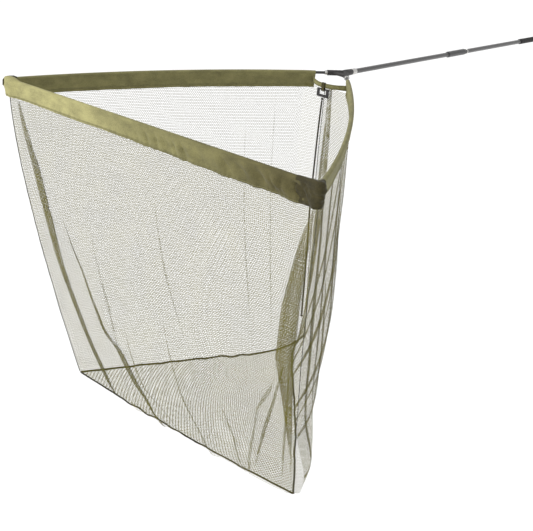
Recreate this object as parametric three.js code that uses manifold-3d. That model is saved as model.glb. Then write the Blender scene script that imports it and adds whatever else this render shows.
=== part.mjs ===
// Landing net: a two-section handle screwed into a spreader block, two bowed arms joined by a front
// cord, and a deep three-cornered mesh bag hung from fabric sleeves.
// Millimetres, +Z up. The origin is the centre of the handle's butt face, and +X points to the net.
import * as THREE from 'three';
import { mergeVertices } from 'three/addons/utils/BufferGeometryUtils.js';
import Module from 'manifold-3d';

const wasm = await Module();
wasm.setup();

// --- driving dimensions ---
const GAP = 0.3; // clearance between pieces that touch on the real net
const ROUND = 20; // sides on a turned piece

// Handle, measured from the butt face along its own axis
const HANDLE_RISE = THREE.MathUtils.degToRad(3.4); // the handle climbs to the level mouth of the net
const HANDLE_LENGTH = 1600; // butt face to the spreader block's centre
const TUBE_R = 7.75;
const TUBE_WALL = 1.5;
const GRIP_R = 10;
const GRIP_END = 330;
const CAP_LENGTH = 14;
const CAP_SKIN = 4;
const STOP_RING_AT = 782;
const STOP_RING_LENGTH = 6;
const FERRULE_START = 800;
const FERRULE_END = 930;
const FERRULE_R = 10.5;
const JOINT_DEPTH = 62; // how far the butt section goes into the ferrule
const COLLAR_START = 1540;
const COLLAR_END = 1562;
const COLLAR_R = 9.5;
const STUD_R = 4.75; // 3/8 inch thread
const STUD_START = 1549;
const STUD_END = 1585;
const SEAT_RING_LENGTH = 2.4;

// Spreader block and arms, measured from the block's centre
const BOSS_R = 9.5;
const SOCKET_R = 8.5;
const SOCKET_BORE_R = 6.3;
const SOCKET_LENGTH = 59;
const SOCKET_FLOOR = 15;
const WEB_LENGTH = 44;
const WEB_THICKNESS = 8;
const ARM_ANGLE = THREE.MathUtils.degToRad(38.6); // each arm to the centre line, at the block
const ARM_STRAIGHT = 65;
const ARM_BEND_R = 3131;
const ARM_LENGTH = 1062;
const ARM_R = 4.5;
const ARM_FERRULE_R = 6;
const ARM_FERRULE_FLANGE = 7;
const TIP_CAP_R = 6.3;
const TIP_CAP_START = 1038;
const TIP_CAP_SKIN = 5;
const EYE_AT = 1046;
const EYE_RING_R = 8.4;
const EYE_CORD_R = 1.8;

// Front cord, sleeves and hems
const FRONT_CORD_X = 908;
const FRONT_CORD_R = 2.5;
const FRONT_CORD_HALF = 514;
const SLEEVE_START = 97;
const SLEEVE_END = 1034;
const SLEEVE_DEPTH = 46;
const SLEEVE_HEAD_R = 7;
const FRONT_HEM_HALF = 506;
const FRONT_HEM_DEPTH = 56;
const HEM_TAIL = 2; // half the thickness of a hem's stitched lower edge
const POCKET_SKIN = 1.6;
const POCKET_DEPTH = 52;
const POCKET_TOP = 9;

// Rear strip, retainer ring and cord
const STRIP_X = 114;
const STRIP_JOIN = 120; // where its ends meet the sleeves, along the arms
const STRIP_TOP = -13;
const STRIP_HEIGHT = 15;
const STRIP_THICKNESS = 2.4;
const RING_WIDTH = 42;
const RING_HEIGHT = 26;
const RING_SIDE_BAR = 9;
const RING_TOP_BAR = 4.5;
const RING_BOTTOM_BAR = 8;
const RING_THICKNESS = 4;
const RING_TOP = -31;
const TAB_WIDTH = 12;
const TAB_SKIN = 1.4;
const TAB_ROOM = 3.3; // half the loop's inside width, so that the ring's bar can turn in it
const RETAINER_R = 1.5;
const KNOT_R = 4.5;
const RETAINER_ROUTE = [ // from the knot on the ring's lower bar to the bottom of the bag
  [114, 0, -68], [114.8, 0.2, -84], [117, 1, -125], [120.3, 3, -190], [124, 6, -255],
  [129, 10, -320], [135, 15, -385], [142, 22, -450], [149, 30.5, -515], [158, 39.5, -580],
  [168, 49, -645], [182, 60, -700], [195, 70, -745],
];

// Bag: the three bottom corners hang below the mouth, swung a little to one side
const WALL = 1.6;
const WALL_TOP = -57;
const REAR_TOP = new THREE.Vector3(104, 0, -34);
const BASE_REAR = new THREE.Vector3(186, 87, -815);
const BASE_LEFT = new THREE.Vector3(823, -291, -860);
const BASE_RIGHT = new THREE.Vector3(790, 486, -938);
const SEAM_SAG = 12;
const BASE_SAG = 24;
const SEAM_R = 2.5;
// How an edge falls: at 1 it is a straight line, and above that it hangs plumb before it swings in
const FALL = { left: 1.3, right: 2.4, rear: 2 };
const PANEL_FALL = { left: 0.6, right: 1.2, front: 0.3 }; // added at the middle of each panel
const BELLY = { left: 10, right: 40, front: 30 }; // how far the middle of each panel stands out

// --- colours ---
const material = (color, roughness, metalness = 0) =>
  new THREE.MeshStandardMaterial({ color, roughness, metalness });
const carbon = material(0x4c4a4a, 0.45);
const rubber = material(0x2b2a2a, 0.85);
const blockPlastic = material(0x3a3636, 0.5);
const metal = material(0xb9b9b6, 0.3, 1);
const oliveFabric = material(0x77774a, 0.9);
const darkFabric = material(0x4a4728, 0.9);
const oliveMesh = material(0xa09c70, 0.95);
const seamCord = material(0x3a3720, 0.9);

// --- shape helpers ---
/** A turned piece on the X axis, from [x, radius] pairs that start and end on the axis or close. */
function turned(profile) {
  const points = profile.map(([x, radius]) => new THREE.Vector2(radius, x));
  return new THREE.LatheGeometry(points, ROUND).rotateZ(-Math.PI / 2);
}

/** A straight tube or ring on the X axis. */
function tube(from, to, outer, inner) {
  return turned([[from, inner], [from, outer], [to, outer], [to, inner], [from, inner]]);
}

/** A solid rod on the X axis. */
function rod(from, to, radius) {
  return turned([[from, 0], [from, radius], [to, radius], [to, 0]]);
}

/** A round cord or rod swept along a curve. */
function swept(curve, radius, sides, steps) {
  const section = new THREE.Shape();
  for (let i = 0; i < sides; i++) {
    const turn = (i / sides) * 2 * Math.PI;
    const at = [radius * Math.cos(turn), radius * Math.sin(turn)];
    if (i === 0) section.moveTo(...at);
    else section.lineTo(...at);
  }
  return new THREE.ExtrudeGeometry(section, { steps, extrudePath: curve, curveSegments: 1 });
}

function asSolid(geometry) {
  const bare = new THREE.BufferGeometry();
  bare.setAttribute('position', geometry.getAttribute('position'));
  if (geometry.index) bare.setIndex(geometry.index);
  const merged = mergeVertices(bare, 1e-4);
  return new wasm.Manifold(new wasm.Mesh({
    numProp: 3,
    vertProperties: new Float32Array(merged.getAttribute('position').array),
    triVerts: new Uint32Array(merged.index.array),
  }));
}

function asGeometry(solid) {
  const { vertProperties, triVerts } = solid.getMesh();
  const geometry = new THREE.BufferGeometry();
  geometry.setAttribute('position', new THREE.BufferAttribute(vertProperties, 3));
  geometry.setIndex(new THREE.BufferAttribute(triVerts, 1));
  return geometry;
}

/** A cloth wall: both faces of the surface point(u, v), thickened by the vector out(u, v). */
function clothWall(point, out, columns, rows) {
  const positions = [];
  const index = [];
  const at = (face, i, j) => (face * (rows + 1) + j) * (columns + 1) + i;
  for (const side of [0, 1]) {
    for (let j = 0; j <= rows; j++) {
      for (let i = 0; i <= columns; i++) {
        const [u, v] = [i / columns, j / rows];
        positions.push(...point(u, v).addScaledVector(out(u, v), side * WALL).toArray());
      }
    }
  }
  const quad = (a, b, c, d) => index.push(a, b, c, a, c, d);
  for (let j = 0; j < rows; j++) {
    for (let i = 0; i < columns; i++) {
      quad(at(0, i, j), at(0, i + 1, j), at(0, i + 1, j + 1), at(0, i, j + 1));
      quad(at(1, i, j), at(1, i, j + 1), at(1, i + 1, j + 1), at(1, i + 1, j));
    }
  }
  for (let i = 0; i < columns; i++) {
    quad(at(0, i, 0), at(1, i, 0), at(1, i + 1, 0), at(0, i + 1, 0));
    quad(at(0, i + 1, rows), at(1, i + 1, rows), at(1, i, rows), at(0, i, rows));
  }
  for (let j = 0; j < rows; j++) {
    quad(at(0, 0, j + 1), at(1, 0, j + 1), at(1, 0, j), at(0, 0, j));
    quad(at(0, columns, j), at(1, columns, j), at(1, columns, j + 1), at(0, columns, j + 1));
  }
  const geometry = new THREE.BufferGeometry();
  geometry.setAttribute('position', new THREE.Float32BufferAttribute(positions, 3));
  geometry.setIndex(index);
  return asSolid(geometry).volume() < 0 ? flipped(geometry) : geometry;
}

/** The same geometry with its faces turned round. */
function flipped(geometry) {
  const { array } = geometry.index;
  for (let k = 0; k < array.length; k += 3) [array[k], array[k + 1]] = [array[k + 1], array[k]];
  return geometry;
}

// --- assembly ---
const net = new THREE.Group();
const handle = new THREE.Group();
handle.rotation.y = -HANDLE_RISE;
const head = new THREE.Group();
head.position.set(
  HANDLE_LENGTH * Math.cos(HANDLE_RISE), 0, HANDLE_LENGTH * Math.sin(HANDLE_RISE));
net.add(handle, head);

function add(group, name, geometry, finish) {
  const mesh = new THREE.Mesh(geometry, finish);
  mesh.name = name;
  group.add(mesh);
  return mesh;
}

// --- handle ---
function buildHandle() {
  const bore = TUBE_R - TUBE_WALL;
  const over = TUBE_R + GAP; // bore of whatever fits over the tube
  const joint = FERRULE_START + JOINT_DEPTH;
  add(handle, 'butt_cap', turned([
    [0, 0], [0, GRIP_R - 1], [1.5, GRIP_R + 0.5], [CAP_LENGTH, GRIP_R + 0.5],
    [CAP_LENGTH, over], [CAP_SKIN, over], [CAP_SKIN, 0],
  ]), rubber);
  add(handle, 'butt_grip', tube(CAP_LENGTH + GAP, GRIP_END, GRIP_R, over), rubber);
  add(handle, 'butt_section', tube(CAP_SKIN + GAP, joint, TUBE_R, bore), carbon);
  add(handle, 'stop_ring',
    tube(STOP_RING_AT, STOP_RING_AT + STOP_RING_LENGTH, TUBE_R + 1.6, over), metal);
  add(handle, 'joint_ferrule', turned([
    [FERRULE_START, over], [FERRULE_START, FERRULE_R - 1], [FERRULE_START + 2, FERRULE_R],
    [FERRULE_END - 6, FERRULE_R], [FERRULE_END, TUBE_R + 0.8], [FERRULE_END, over],
    [FERRULE_START, over],
  ]), rubber);
  add(handle, 'front_section', tube(joint + GAP, COLLAR_END - 6, TUBE_R, bore), carbon);
  add(handle, 'front_collar', turned([
    [COLLAR_START, over], [COLLAR_START, COLLAR_R - 0.6], [COLLAR_START + 2, COLLAR_R],
    [COLLAR_END - 1, COLLAR_R], [COLLAR_END, COLLAR_R - 1], [COLLAR_END, STUD_R + GAP],
    [COLLAR_END - 6 + GAP, STUD_R + GAP], [COLLAR_END - 6 + GAP, over], [COLLAR_START, over],
  ]), metal);
  add(handle, 'thread_stud', turned([
    [STUD_START, 0], [STUD_START, bore - GAP], [COLLAR_END - 6 - GAP, bore - GAP],
    [COLLAR_END - 6 - GAP, STUD_R], [STUD_END - 1.5, STUD_R], [STUD_END, STUD_R - 1.5],
    [STUD_END, 0],
  ]), metal);
  const seat = COLLAR_END + GAP;
  add(handle, 'seat_ring', tube(seat, seat + SEAT_RING_LENGTH, COLLAR_R - 1, STUD_R + 0.5), rubber);
}

// --- spreader block ---
/** Turns a piece made along +X to an arm's socket. side is -1 for the left arm and 1 for the right. */
const alongSocket = (geometry, side) => geometry.rotateZ(side * ARM_ANGLE);

function buildBlock() {
  const bossStart = COLLAR_END + 2 * GAP + SEAT_RING_LENGTH - HANDLE_LENGTH;
  const onHandle = (geometry) => geometry.rotateY(-HANDLE_RISE);
  let block = asSolid(onHandle(turned([
    [bossStart, 0], [bossStart, BOSS_R], [-6, BOSS_R + 0.8], [4, BOSS_R + 0.8], [4, 0],
  ])));
  const web = new THREE.Shape();
  const reach = WEB_LENGTH * Math.tan(ARM_ANGLE);
  web.moveTo(-8, -8);
  web.lineTo(WEB_LENGTH, -reach);
  web.quadraticCurveTo(WEB_LENGTH * 0.55, 0, WEB_LENGTH, reach);
  web.lineTo(-8, 8);
  const plate = new THREE.ExtrudeGeometry(web, {
    depth: WEB_THICKNESS, bevelEnabled: false, curveSegments: 6 });
  block = block.add(asSolid(plate.translate(0, 0, -WEB_THICKNESS / 2)));
  for (const side of [-1, 1]) {
    block = block.add(asSolid(alongSocket(turned([
      [-4, 0], [-4, SOCKET_R], [SOCKET_LENGTH - 1, SOCKET_R], [SOCKET_LENGTH, SOCKET_R - 1],
      [SOCKET_LENGTH, 0],
    ]), side)));
  }
  for (const side of [-1, 1]) {
    const bore = rod(SOCKET_FLOOR, SOCKET_LENGTH + 10, SOCKET_BORE_R);
    block = block.subtract(asSolid(alongSocket(bore, side)));
  }
  const thread = rod(bossStart - 10, STUD_END + 2 - HANDLE_LENGTH, STUD_R + 0.5);
  block = block.subtract(asSolid(onHandle(thread)));
  add(head, 'spreader_block', asGeometry(block), blockPlastic);
}

// --- arms ---
/** An arm's centre line: straight in its socket, then one long bow towards the centre line. */
class ArmCurve extends THREE.Curve {
  constructor(side, from, to) {
    super();
    Object.assign(this, { side, from, to });
  }

  getPoint(t, target = new THREE.Vector3()) {
    const s = this.from + (this.to - this.from) * t;
    const straight = Math.min(s, ARM_STRAIGHT);
    const turn = Math.max(s - ARM_STRAIGHT, 0) / ARM_BEND_R;
    const x = straight * Math.cos(ARM_ANGLE)
      + ARM_BEND_R * (Math.sin(ARM_ANGLE) - Math.sin(ARM_ANGLE - turn));
    const y = straight * Math.sin(ARM_ANGLE)
      + ARM_BEND_R * (Math.cos(ARM_ANGLE - turn) - Math.cos(ARM_ANGLE));
    return target.set(x, this.side * y, 0);
  }
}

/** Places a piece made along +X on an arm, at the distance s from the block's centre. */
function onArm(mesh, side, s) {
  const here = new ArmCurve(side, s, s + 1);
  mesh.position.copy(here.getPoint(0));
  const way = here.getTangent(0);
  mesh.rotation.z = Math.atan2(way.y, way.x);
}

/** A fabric sleeve's section: round over the rod inside it, then narrowing to its stitched edge. */
function hemSection(depth, headR, holeR) {
  const section = new THREE.Shape();
  section.moveTo(depth, -HEM_TAIL);
  section.lineTo(depth, HEM_TAIL);
  section.lineTo(depth * 0.6, HEM_TAIL + 1);
  section.lineTo(depth * 0.3, headR * 0.85);
  section.absarc(0, 0, headR, Math.PI / 3, 5 * Math.PI / 3, false);
  section.lineTo(depth * 0.3, -headR * 0.85);
  section.lineTo(depth * 0.6, -HEM_TAIL - 1);
  const hole = new THREE.Path();
  hole.absarc(0, 0, holeR, 0, 2 * Math.PI, true);
  section.holes.push(hole);
  return section;
}

function buildArm(side, name) {
  const path = (from, to) => new ArmCurve(side, from, to);
  add(head, `arm_${name}`, swept(path(SOCKET_FLOOR + GAP, ARM_LENGTH), ARM_R, 10, 22), carbon);
  const ferrule = turned([
    [SOCKET_FLOOR + GAP, ARM_R + GAP], [SOCKET_FLOOR + GAP, ARM_FERRULE_R],
    [SOCKET_LENGTH + GAP, ARM_FERRULE_R], [SOCKET_LENGTH + GAP, SOCKET_R - 0.6],
    [SOCKET_LENGTH + ARM_FERRULE_FLANGE, ARM_FERRULE_R],
    [SOCKET_LENGTH + ARM_FERRULE_FLANGE, ARM_R + GAP], [SOCKET_FLOOR + GAP, ARM_R + GAP],
  ]);
  add(head, `arm_ferrule_${name}`, alongSocket(ferrule, side), metal);

  const capLength = ARM_LENGTH - TIP_CAP_START;
  const cap = turned([
    [0, ARM_R + GAP + 0.1], [0, TIP_CAP_R], [capLength + TIP_CAP_SKIN - 1.5, TIP_CAP_R],
    [capLength + TIP_CAP_SKIN, TIP_CAP_R - 1.5], [capLength + TIP_CAP_SKIN, 0],
    [capLength + GAP, 0], [capLength + GAP, ARM_R + GAP + 0.1], [0, ARM_R + GAP + 0.1],
  ]);
  onArm(add(head, `arm_tip_${name}`, cap, rubber), side, TIP_CAP_START);
  const eye = new THREE.TorusGeometry(EYE_RING_R, EYE_CORD_R, 8, ROUND).rotateY(Math.PI / 2);
  onArm(add(head, `cord_eye_${name}`, eye, seamCord), side, EYE_AT);

  const sleeve = new THREE.ExtrudeGeometry(hemSection(SLEEVE_DEPTH, SLEEVE_HEAD_R, ARM_R + 0.6), {
    steps: 16, curveSegments: 5, extrudePath: path(SLEEVE_START, SLEEVE_END) });
  add(head, `sleeve_${name}`, sleeve, oliveFabric);
  buildPocket(side, name);
}

/** The fabric pocket over an arm's tip, open below and where the sleeve and the front hem enter. */
function buildPocket(side, name) {
  const outline = (grow, open) => {
    const start = new ArmCurve(1, SLEEVE_END + GAP + 0.2, ARM_LENGTH + TIP_CAP_SKIN);
    const way = start.getTangent(0);
    const across = new THREE.Vector3(-way.y, way.x, 0);
    const near = start.getPoint(0).addScaledVector(way, -open);
    const tip = start.getPoint(1).addScaledVector(way, 3 + grow);
    const half = EYE_RING_R + EYE_CORD_R + 1.2 + grow;
    const shape = new THREE.Shape();
    const corner = (v) => shape.lineTo(v.x, v.y);
    const a = near.clone().addScaledVector(across, half);
    shape.moveTo(a.x, a.y);
    corner(tip.clone().addScaledVector(across, half - 2));
    corner(tip.clone().addScaledVector(across, -half + 1));
    shape.lineTo(FRONT_CORD_X + SLEEVE_HEAD_R + 1 + grow, FRONT_HEM_HALF + 8);
    shape.lineTo(FRONT_CORD_X + SLEEVE_HEAD_R + 1 + grow, FRONT_HEM_HALF + GAP + 0.2 - open);
    shape.lineTo(FRONT_CORD_X - SLEEVE_HEAD_R - 1 - grow, FRONT_HEM_HALF + GAP + 0.2 - open);
    corner(near.clone().addScaledVector(across, -half));
    return shape;
  };
  const block = (shape, low, high) => asSolid(new THREE.ExtrudeGeometry(shape, {
    depth: high - low, bevelEnabled: false }).translate(0, 0, low));
  const outer = block(outline(POCKET_SKIN, 0), -POCKET_DEPTH, POCKET_TOP + 3);
  const inner = block(outline(0, 12), -POCKET_DEPTH - 10, POCKET_TOP + 3 - POCKET_SKIN);
  const pocket = asGeometry(outer.subtract(inner));
  if (side < 0) flipped(pocket.scale(1, -1, 1));
  add(head, `tip_pocket_${name}`, pocket, darkFabric);
}

// --- front cord and hem ---
function buildFront() {
  const line = (half) => new THREE.LineCurve3(
    new THREE.Vector3(FRONT_CORD_X, -half, 0), new THREE.Vector3(FRONT_CORD_X, half, 0));
  add(head, 'front_cord', swept(line(FRONT_CORD_HALF), FRONT_CORD_R, 10, 1), seamCord);
  const hem = new THREE.ExtrudeGeometry(hemSection(FRONT_HEM_DEPTH, SLEEVE_HEAD_R, FRONT_CORD_R + 1), {
    steps: 4, curveSegments: 5, extrudePath: line(FRONT_HEM_HALF) });
  add(head, 'front_hem', hem, oliveFabric);
}

// --- rear strip, retainer ring and cord ---
/** The strip that joins the two sleeves below the block, seen from above. */
function stripCurve() {
  const end = new ArmCurve(1, STRIP_JOIN, ARM_LENGTH).getPoint(0);
  const inset = SLEEVE_HEAD_R + 4;
  return new THREE.QuadraticBezierCurve3(
    new THREE.Vector3(end.x, -end.y + inset, 0),
    new THREE.Vector3(2 * STRIP_X - end.x, 0, 0),
    new THREE.Vector3(end.x, end.y - inset, 0));
}

function buildRear() {
  const section = new THREE.Shape();
  const half = STRIP_THICKNESS / 2;
  section.moveTo(-STRIP_TOP, -half);
  section.lineTo(-STRIP_TOP + STRIP_HEIGHT, -half);
  section.lineTo(-STRIP_TOP + STRIP_HEIGHT, half);
  section.lineTo(-STRIP_TOP, half);
  add(head, 'rear_strip', new THREE.ExtrudeGeometry(section, {
    steps: 10, extrudePath: stripCurve() }), oliveFabric);

  const [w, h, b] = [RING_WIDTH / 2, RING_HEIGHT, RING_SIDE_BAR];
  const frame = new THREE.Shape();
  frame.moveTo(-w + 3, 0);
  frame.lineTo(w - 3, 0);
  frame.quadraticCurveTo(w, 0, w, -3);
  frame.lineTo(w, -h + 3);
  frame.quadraticCurveTo(w, -h, w - 3, -h);
  frame.lineTo(-w + 3, -h);
  frame.quadraticCurveTo(-w, -h, -w, -h + 3);
  frame.lineTo(-w, -3);
  frame.quadraticCurveTo(-w, 0, -w + 3, 0);
  const hole = new THREE.Path();
  hole.moveTo(-w + b, -RING_TOP_BAR);
  hole.lineTo(-w + b, -h + RING_BOTTOM_BAR);
  hole.lineTo(w - b, -h + RING_BOTTOM_BAR);
  hole.lineTo(w - b, -RING_TOP_BAR);
  frame.holes.push(hole);
  const ring = new THREE.ExtrudeGeometry(frame, {
    depth: RING_THICKNESS, bevelEnabled: false, curveSegments: 3 });
  ring.translate(0, 0, -RING_THICKNESS / 2).rotateX(Math.PI / 2).rotateZ(Math.PI / 2);
  ring.translate(STRIP_X, 0, RING_TOP);
  add(head, 'retainer_ring', ring, blockPlastic);
  buildRingTab();
  buildRetainer();
}

/** The webbing loop that is sewn round the rear strip and carries the ring's top bar. */
function buildRingTab() {
  const outline = (grow) => {
    const half = TAB_ROOM + grow;
    const [top, bottom] = [STRIP_TOP + GAP + grow, RING_TOP - RING_TOP_BAR / 2 - TAB_ROOM - grow];
    const shape = new THREE.Shape();
    shape.moveTo(-half, bottom + 1);
    shape.lineTo(-half + 1, bottom);
    shape.lineTo(half - 1, bottom);
    shape.lineTo(half, bottom + 1);
    shape.lineTo(half, top - 1);
    shape.lineTo(half - 1, top);
    shape.lineTo(-half + 1, top);
    shape.lineTo(-half, top - 1);
    return shape;
  };
  const loop = outline(TAB_SKIN);
  loop.holes.push(outline(0));
  const tab = new THREE.ExtrudeGeometry(loop, { depth: TAB_WIDTH, bevelEnabled: false });
  tab.translate(0, 0, -TAB_WIDTH / 2).rotateX(Math.PI / 2);
  add(head, 'ring_tab', tab.translate(STRIP_X, 0, 0), darkFabric);
}

/** The cord from the ring to the bottom of the bag, with the knot at each of its ends. */
function buildRetainer() {
  const route = new THREE.CatmullRomCurve3(RETAINER_ROUTE.map((p) => new THREE.Vector3(...p)));
  add(head, 'retainer_cord', swept(route, RETAINER_R, 8, 60), seamCord);
  const knot = (name, end, lift) => {
    const ball = new THREE.SphereGeometry(KNOT_R, 12, 8);
    add(head, name, ball.translate(end.x, end.y, end.z + lift), seamCord);
  };
  knot('knot_top', route.getPoint(0), KNOT_R + GAP);
  knot('knot_bottom', route.getPoint(1), -KNOT_R - GAP);
}

// --- bag ---
/** The top edge of a side panel: from the rear corner to the sleeve, and along the arm to its tip. */
function panelTop(side, u) {
  const joined = 0.08; // share of the edge behind the sleeve
  const join = new ArmCurve(side, STRIP_JOIN + 8, ARM_LENGTH - 14);
  if (u < joined) return REAR_TOP.clone().lerp(join.getPoint(0).setZ(WALL_TOP + 6), u / joined);
  const share = (u - joined) / (1 - joined);
  return join.getPoint(share).setZ(WALL_TOP + 6 * (1 - share));
}

/** The point at the share v of the way down from one point to another. */
const hang = (from, to, v, fall) => {
  const swing = v ** fall;
  return new THREE.Vector3(
    from.x + (to.x - from.x) * swing, from.y + (to.y - from.y) * swing, from.z + (to.z - from.z) * v);
};
const seamPoint = (a, b, t) => a.clone().lerp(b, t).setZ(
  a.z + (b.z - a.z) * t - SEAM_SAG * Math.sin(Math.PI * t));
const EDGE = 0.006; // how far a panel stops short of its corner seams, as a share of its width
const FOOT = 0.992; // how far down the bottom seams it reaches
const inner = (u) => EDGE + (1 - 2 * EDGE) * u;
const CORNER = { left: panelTop(-1, 1), right: panelTop(1, 1) };

/** A wall of the bag between its top edge and its bottom seam, standing out in the middle. */
function addPanel(name, topAt, seamAt, falls, outwards) {
  const point = (u, v) => {
    const middle = Math.sin(Math.PI * inner(u));
    const edge = THREE.MathUtils.lerp(...falls, inner(u));
    const at = hang(topAt(inner(u)), seamAt(inner(u)), v * FOOT, edge + PANEL_FALL[name] * middle);
    return at.addScaledVector(outwards, BELLY[name] * middle * Math.sin(Math.PI * v * v));
  };
  add(head, `panel_${name}`, clothWall(point, () => outwards, 14, 10), oliveMesh);
}

function buildBag() {
  addPanel('left', (u) => panelTop(-1, u), (u) => seamPoint(BASE_REAR, BASE_LEFT, u),
    [FALL.rear, FALL.left], new THREE.Vector3(-0.55, -0.83, 0));
  addPanel('right', (u) => panelTop(1, u), (u) => seamPoint(BASE_REAR, BASE_RIGHT, u),
    [FALL.rear, FALL.right], new THREE.Vector3(-0.55, 0.83, 0));
  addPanel('front', (u) => CORNER.left.clone().lerp(CORNER.right, u),
    (u) => seamPoint(BASE_LEFT, BASE_RIGHT, u), [FALL.left, FALL.right], new THREE.Vector3(1, 0, 0));

  const basePoint = (u, v) => {
    const depth = 0.05 + 0.93 * v;
    const a = seamPoint(BASE_REAR, BASE_LEFT, depth);
    const b = seamPoint(BASE_REAR, BASE_RIGHT, depth);
    const across = 0.5 + (u - 0.5) * (1 - 0.012 / depth);
    const belly = BASE_SAG * Math.sin(Math.PI * u) * Math.sin(Math.PI * Math.min(depth, 1));
    return a.lerp(b, across).add(new THREE.Vector3(0, 0, -belly));
  };
  add(head, 'panel_base', clothWall(basePoint, () => new THREE.Vector3(0, 0, -1), 8, 10), oliveMesh);
}

/** The cords sewn into the three bottom seams and down the three corners. */
function buildSeams() {
  const seams = [
    ['base_seam_left', (t) => seamPoint(BASE_REAR, BASE_LEFT, t)],
    ['base_seam_right', (t) => seamPoint(BASE_REAR, BASE_RIGHT, t)],
    ['base_seam_front', (t) => seamPoint(BASE_LEFT, BASE_RIGHT, t)],
    ['corner_seam_left', (t) => hang(CORNER.left, BASE_LEFT, t, FALL.left)],
    ['corner_seam_right', (t) => hang(CORNER.right, BASE_RIGHT, t, FALL.right)],
    ['corner_seam_rear', (t) => hang(REAR_TOP, BASE_REAR, t, FALL.rear)],
  ];
  for (const [name, at] of seams) {
    const points = Array.from({ length: 13 }, (_, i) => at(0.012 + 0.976 * (i / 12)));
    add(head, name, swept(new THREE.CatmullRomCurve3(points), SEAM_R, 8, 16), seamCord);
  }
}

buildHandle();
buildBlock();
buildArm(-1, 'left');
buildArm(1, 'right');
buildFront();
buildRear();
buildBag();
buildSeams();

export default net;
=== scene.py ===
"""Landing net with a screw-in spreader block and a hanging mesh bag: the visual pieces and their finishes.

Metres throughout. The origin is the centre of the handle's butt face, +X points to the net and +Z is up.
"""
import math

import bmesh
import bpy
from bpy.props import FloatProperty, FloatVectorProperty, IntProperty, PointerProperty
from mathutils import Matrix, Vector, noise


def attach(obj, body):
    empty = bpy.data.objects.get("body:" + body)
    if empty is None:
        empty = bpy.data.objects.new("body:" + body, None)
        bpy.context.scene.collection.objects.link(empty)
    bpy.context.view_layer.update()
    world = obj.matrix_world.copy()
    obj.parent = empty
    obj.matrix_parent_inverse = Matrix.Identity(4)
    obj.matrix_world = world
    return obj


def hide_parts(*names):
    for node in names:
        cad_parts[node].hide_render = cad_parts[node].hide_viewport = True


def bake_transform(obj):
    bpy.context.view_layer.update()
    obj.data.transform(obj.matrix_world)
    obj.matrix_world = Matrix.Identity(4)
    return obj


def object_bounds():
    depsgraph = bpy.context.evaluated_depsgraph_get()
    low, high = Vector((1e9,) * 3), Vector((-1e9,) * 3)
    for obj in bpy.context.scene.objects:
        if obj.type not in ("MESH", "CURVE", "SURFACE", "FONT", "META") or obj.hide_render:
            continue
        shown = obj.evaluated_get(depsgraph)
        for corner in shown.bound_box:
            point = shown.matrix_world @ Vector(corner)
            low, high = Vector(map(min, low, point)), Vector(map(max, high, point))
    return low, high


bl_info = {
    "name": "Landing Net",
    "version": (1, 0, 0),
    "blender": (4, 5, 0),
    "location": "3D View > Sidebar > Landing Net",
    "description": "Builds the cloth, netting, cord and finishes of a landing net on its CAD frame",
    "category": "Object",
}

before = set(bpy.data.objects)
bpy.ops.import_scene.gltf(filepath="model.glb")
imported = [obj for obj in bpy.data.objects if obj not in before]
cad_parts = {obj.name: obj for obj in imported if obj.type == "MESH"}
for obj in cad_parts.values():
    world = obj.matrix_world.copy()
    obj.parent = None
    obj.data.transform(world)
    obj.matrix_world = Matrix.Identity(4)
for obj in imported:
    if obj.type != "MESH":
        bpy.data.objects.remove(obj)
CAD_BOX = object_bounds()

# --- places on the frame ---
MM = 0.001
SHARP = math.radians(35)  # an edge that turns by more than this is rounded
RISE = math.radians(3.4)  # the handle climbs to the level mouth
BLOCK = Vector((1.6 * math.cos(RISE), 0, 1.6 * math.sin(RISE)))  # centre of the spreader block
ARM_ANGLE = math.radians(38.6)
ARM_STRAIGHT = 0.065
ARM_BEND = 3.131
ARM_LENGTH = 1.062
SLEEVE_START = 0.097
SLEEVE_END = 1.034
FRONT_X = 0.908
FRONT_HALF = 0.506
STRIP_X = 0.114
REAR_TOP = Vector((0.104, 0, -0.027))
BASE_REAR = Vector((0.186, 0.087, -0.815))
BASE_LEFT = Vector((0.823, -0.291, -0.860))
BASE_RIGHT = Vector((0.790, 0.486, -0.938))
RETAINER_ROUTE = [
    (114, 0, -68), (114.8, 0.2, -84), (117, 1, -125), (120.3, 3, -190), (124, 6, -255),
    (129, 10, -320), (135, 15, -385), (142, 22, -450), (149, 30.5, -515), (158, 39.5, -580),
    (168, 49, -645), (182, 60, -700), (195, 70, -745),
]


def arm_point(s, side):
    """A point of an arm's centre line, at the distance s from the block's centre, from that centre."""
    straight = min(s, ARM_STRAIGHT)
    turn = max(s - ARM_STRAIGHT, 0) / ARM_BEND
    x = straight * math.cos(ARM_ANGLE) + ARM_BEND * (math.sin(ARM_ANGLE) - math.sin(ARM_ANGLE - turn))
    y = straight * math.sin(ARM_ANGLE) + ARM_BEND * (math.cos(ARM_ANGLE - turn) - math.cos(ARM_ANGLE))
    return Vector((x, side * y, 0))


def arm_heading(s, side):
    """The direction of an arm's centre line at the distance s from the block's centre."""
    angle = ARM_ANGLE - max(s - ARM_STRAIGHT, 0) / ARM_BEND
    return Vector((math.cos(angle), side * math.sin(angle), 0))


def smooth(low, high, value):
    """0 at low and 1 at high, with a soft start and end. low may be the greater."""
    t = min(max((value - low) / (high - low), 0), 1)
    return t * t * (3 - 2 * t)


def mix(a, b, t):
    """a at 0, b at 1, and even steps between."""
    return a + (b - a) * t


def sway(*where, seed=0.0):
    """Smooth unevenness between about -1 and 1."""
    return noise.noise(Vector((*where, 0, 0)[:3]) + Vector((seed, 1.7 * seed, 0.3)))


# --- making meshes ---
def link(name, mesh):
    """Makes an object of a mesh and puts it in the scene."""
    piece = bpy.data.objects.new(name, mesh)
    bpy.context.scene.collection.objects.link(piece)
    return piece


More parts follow.
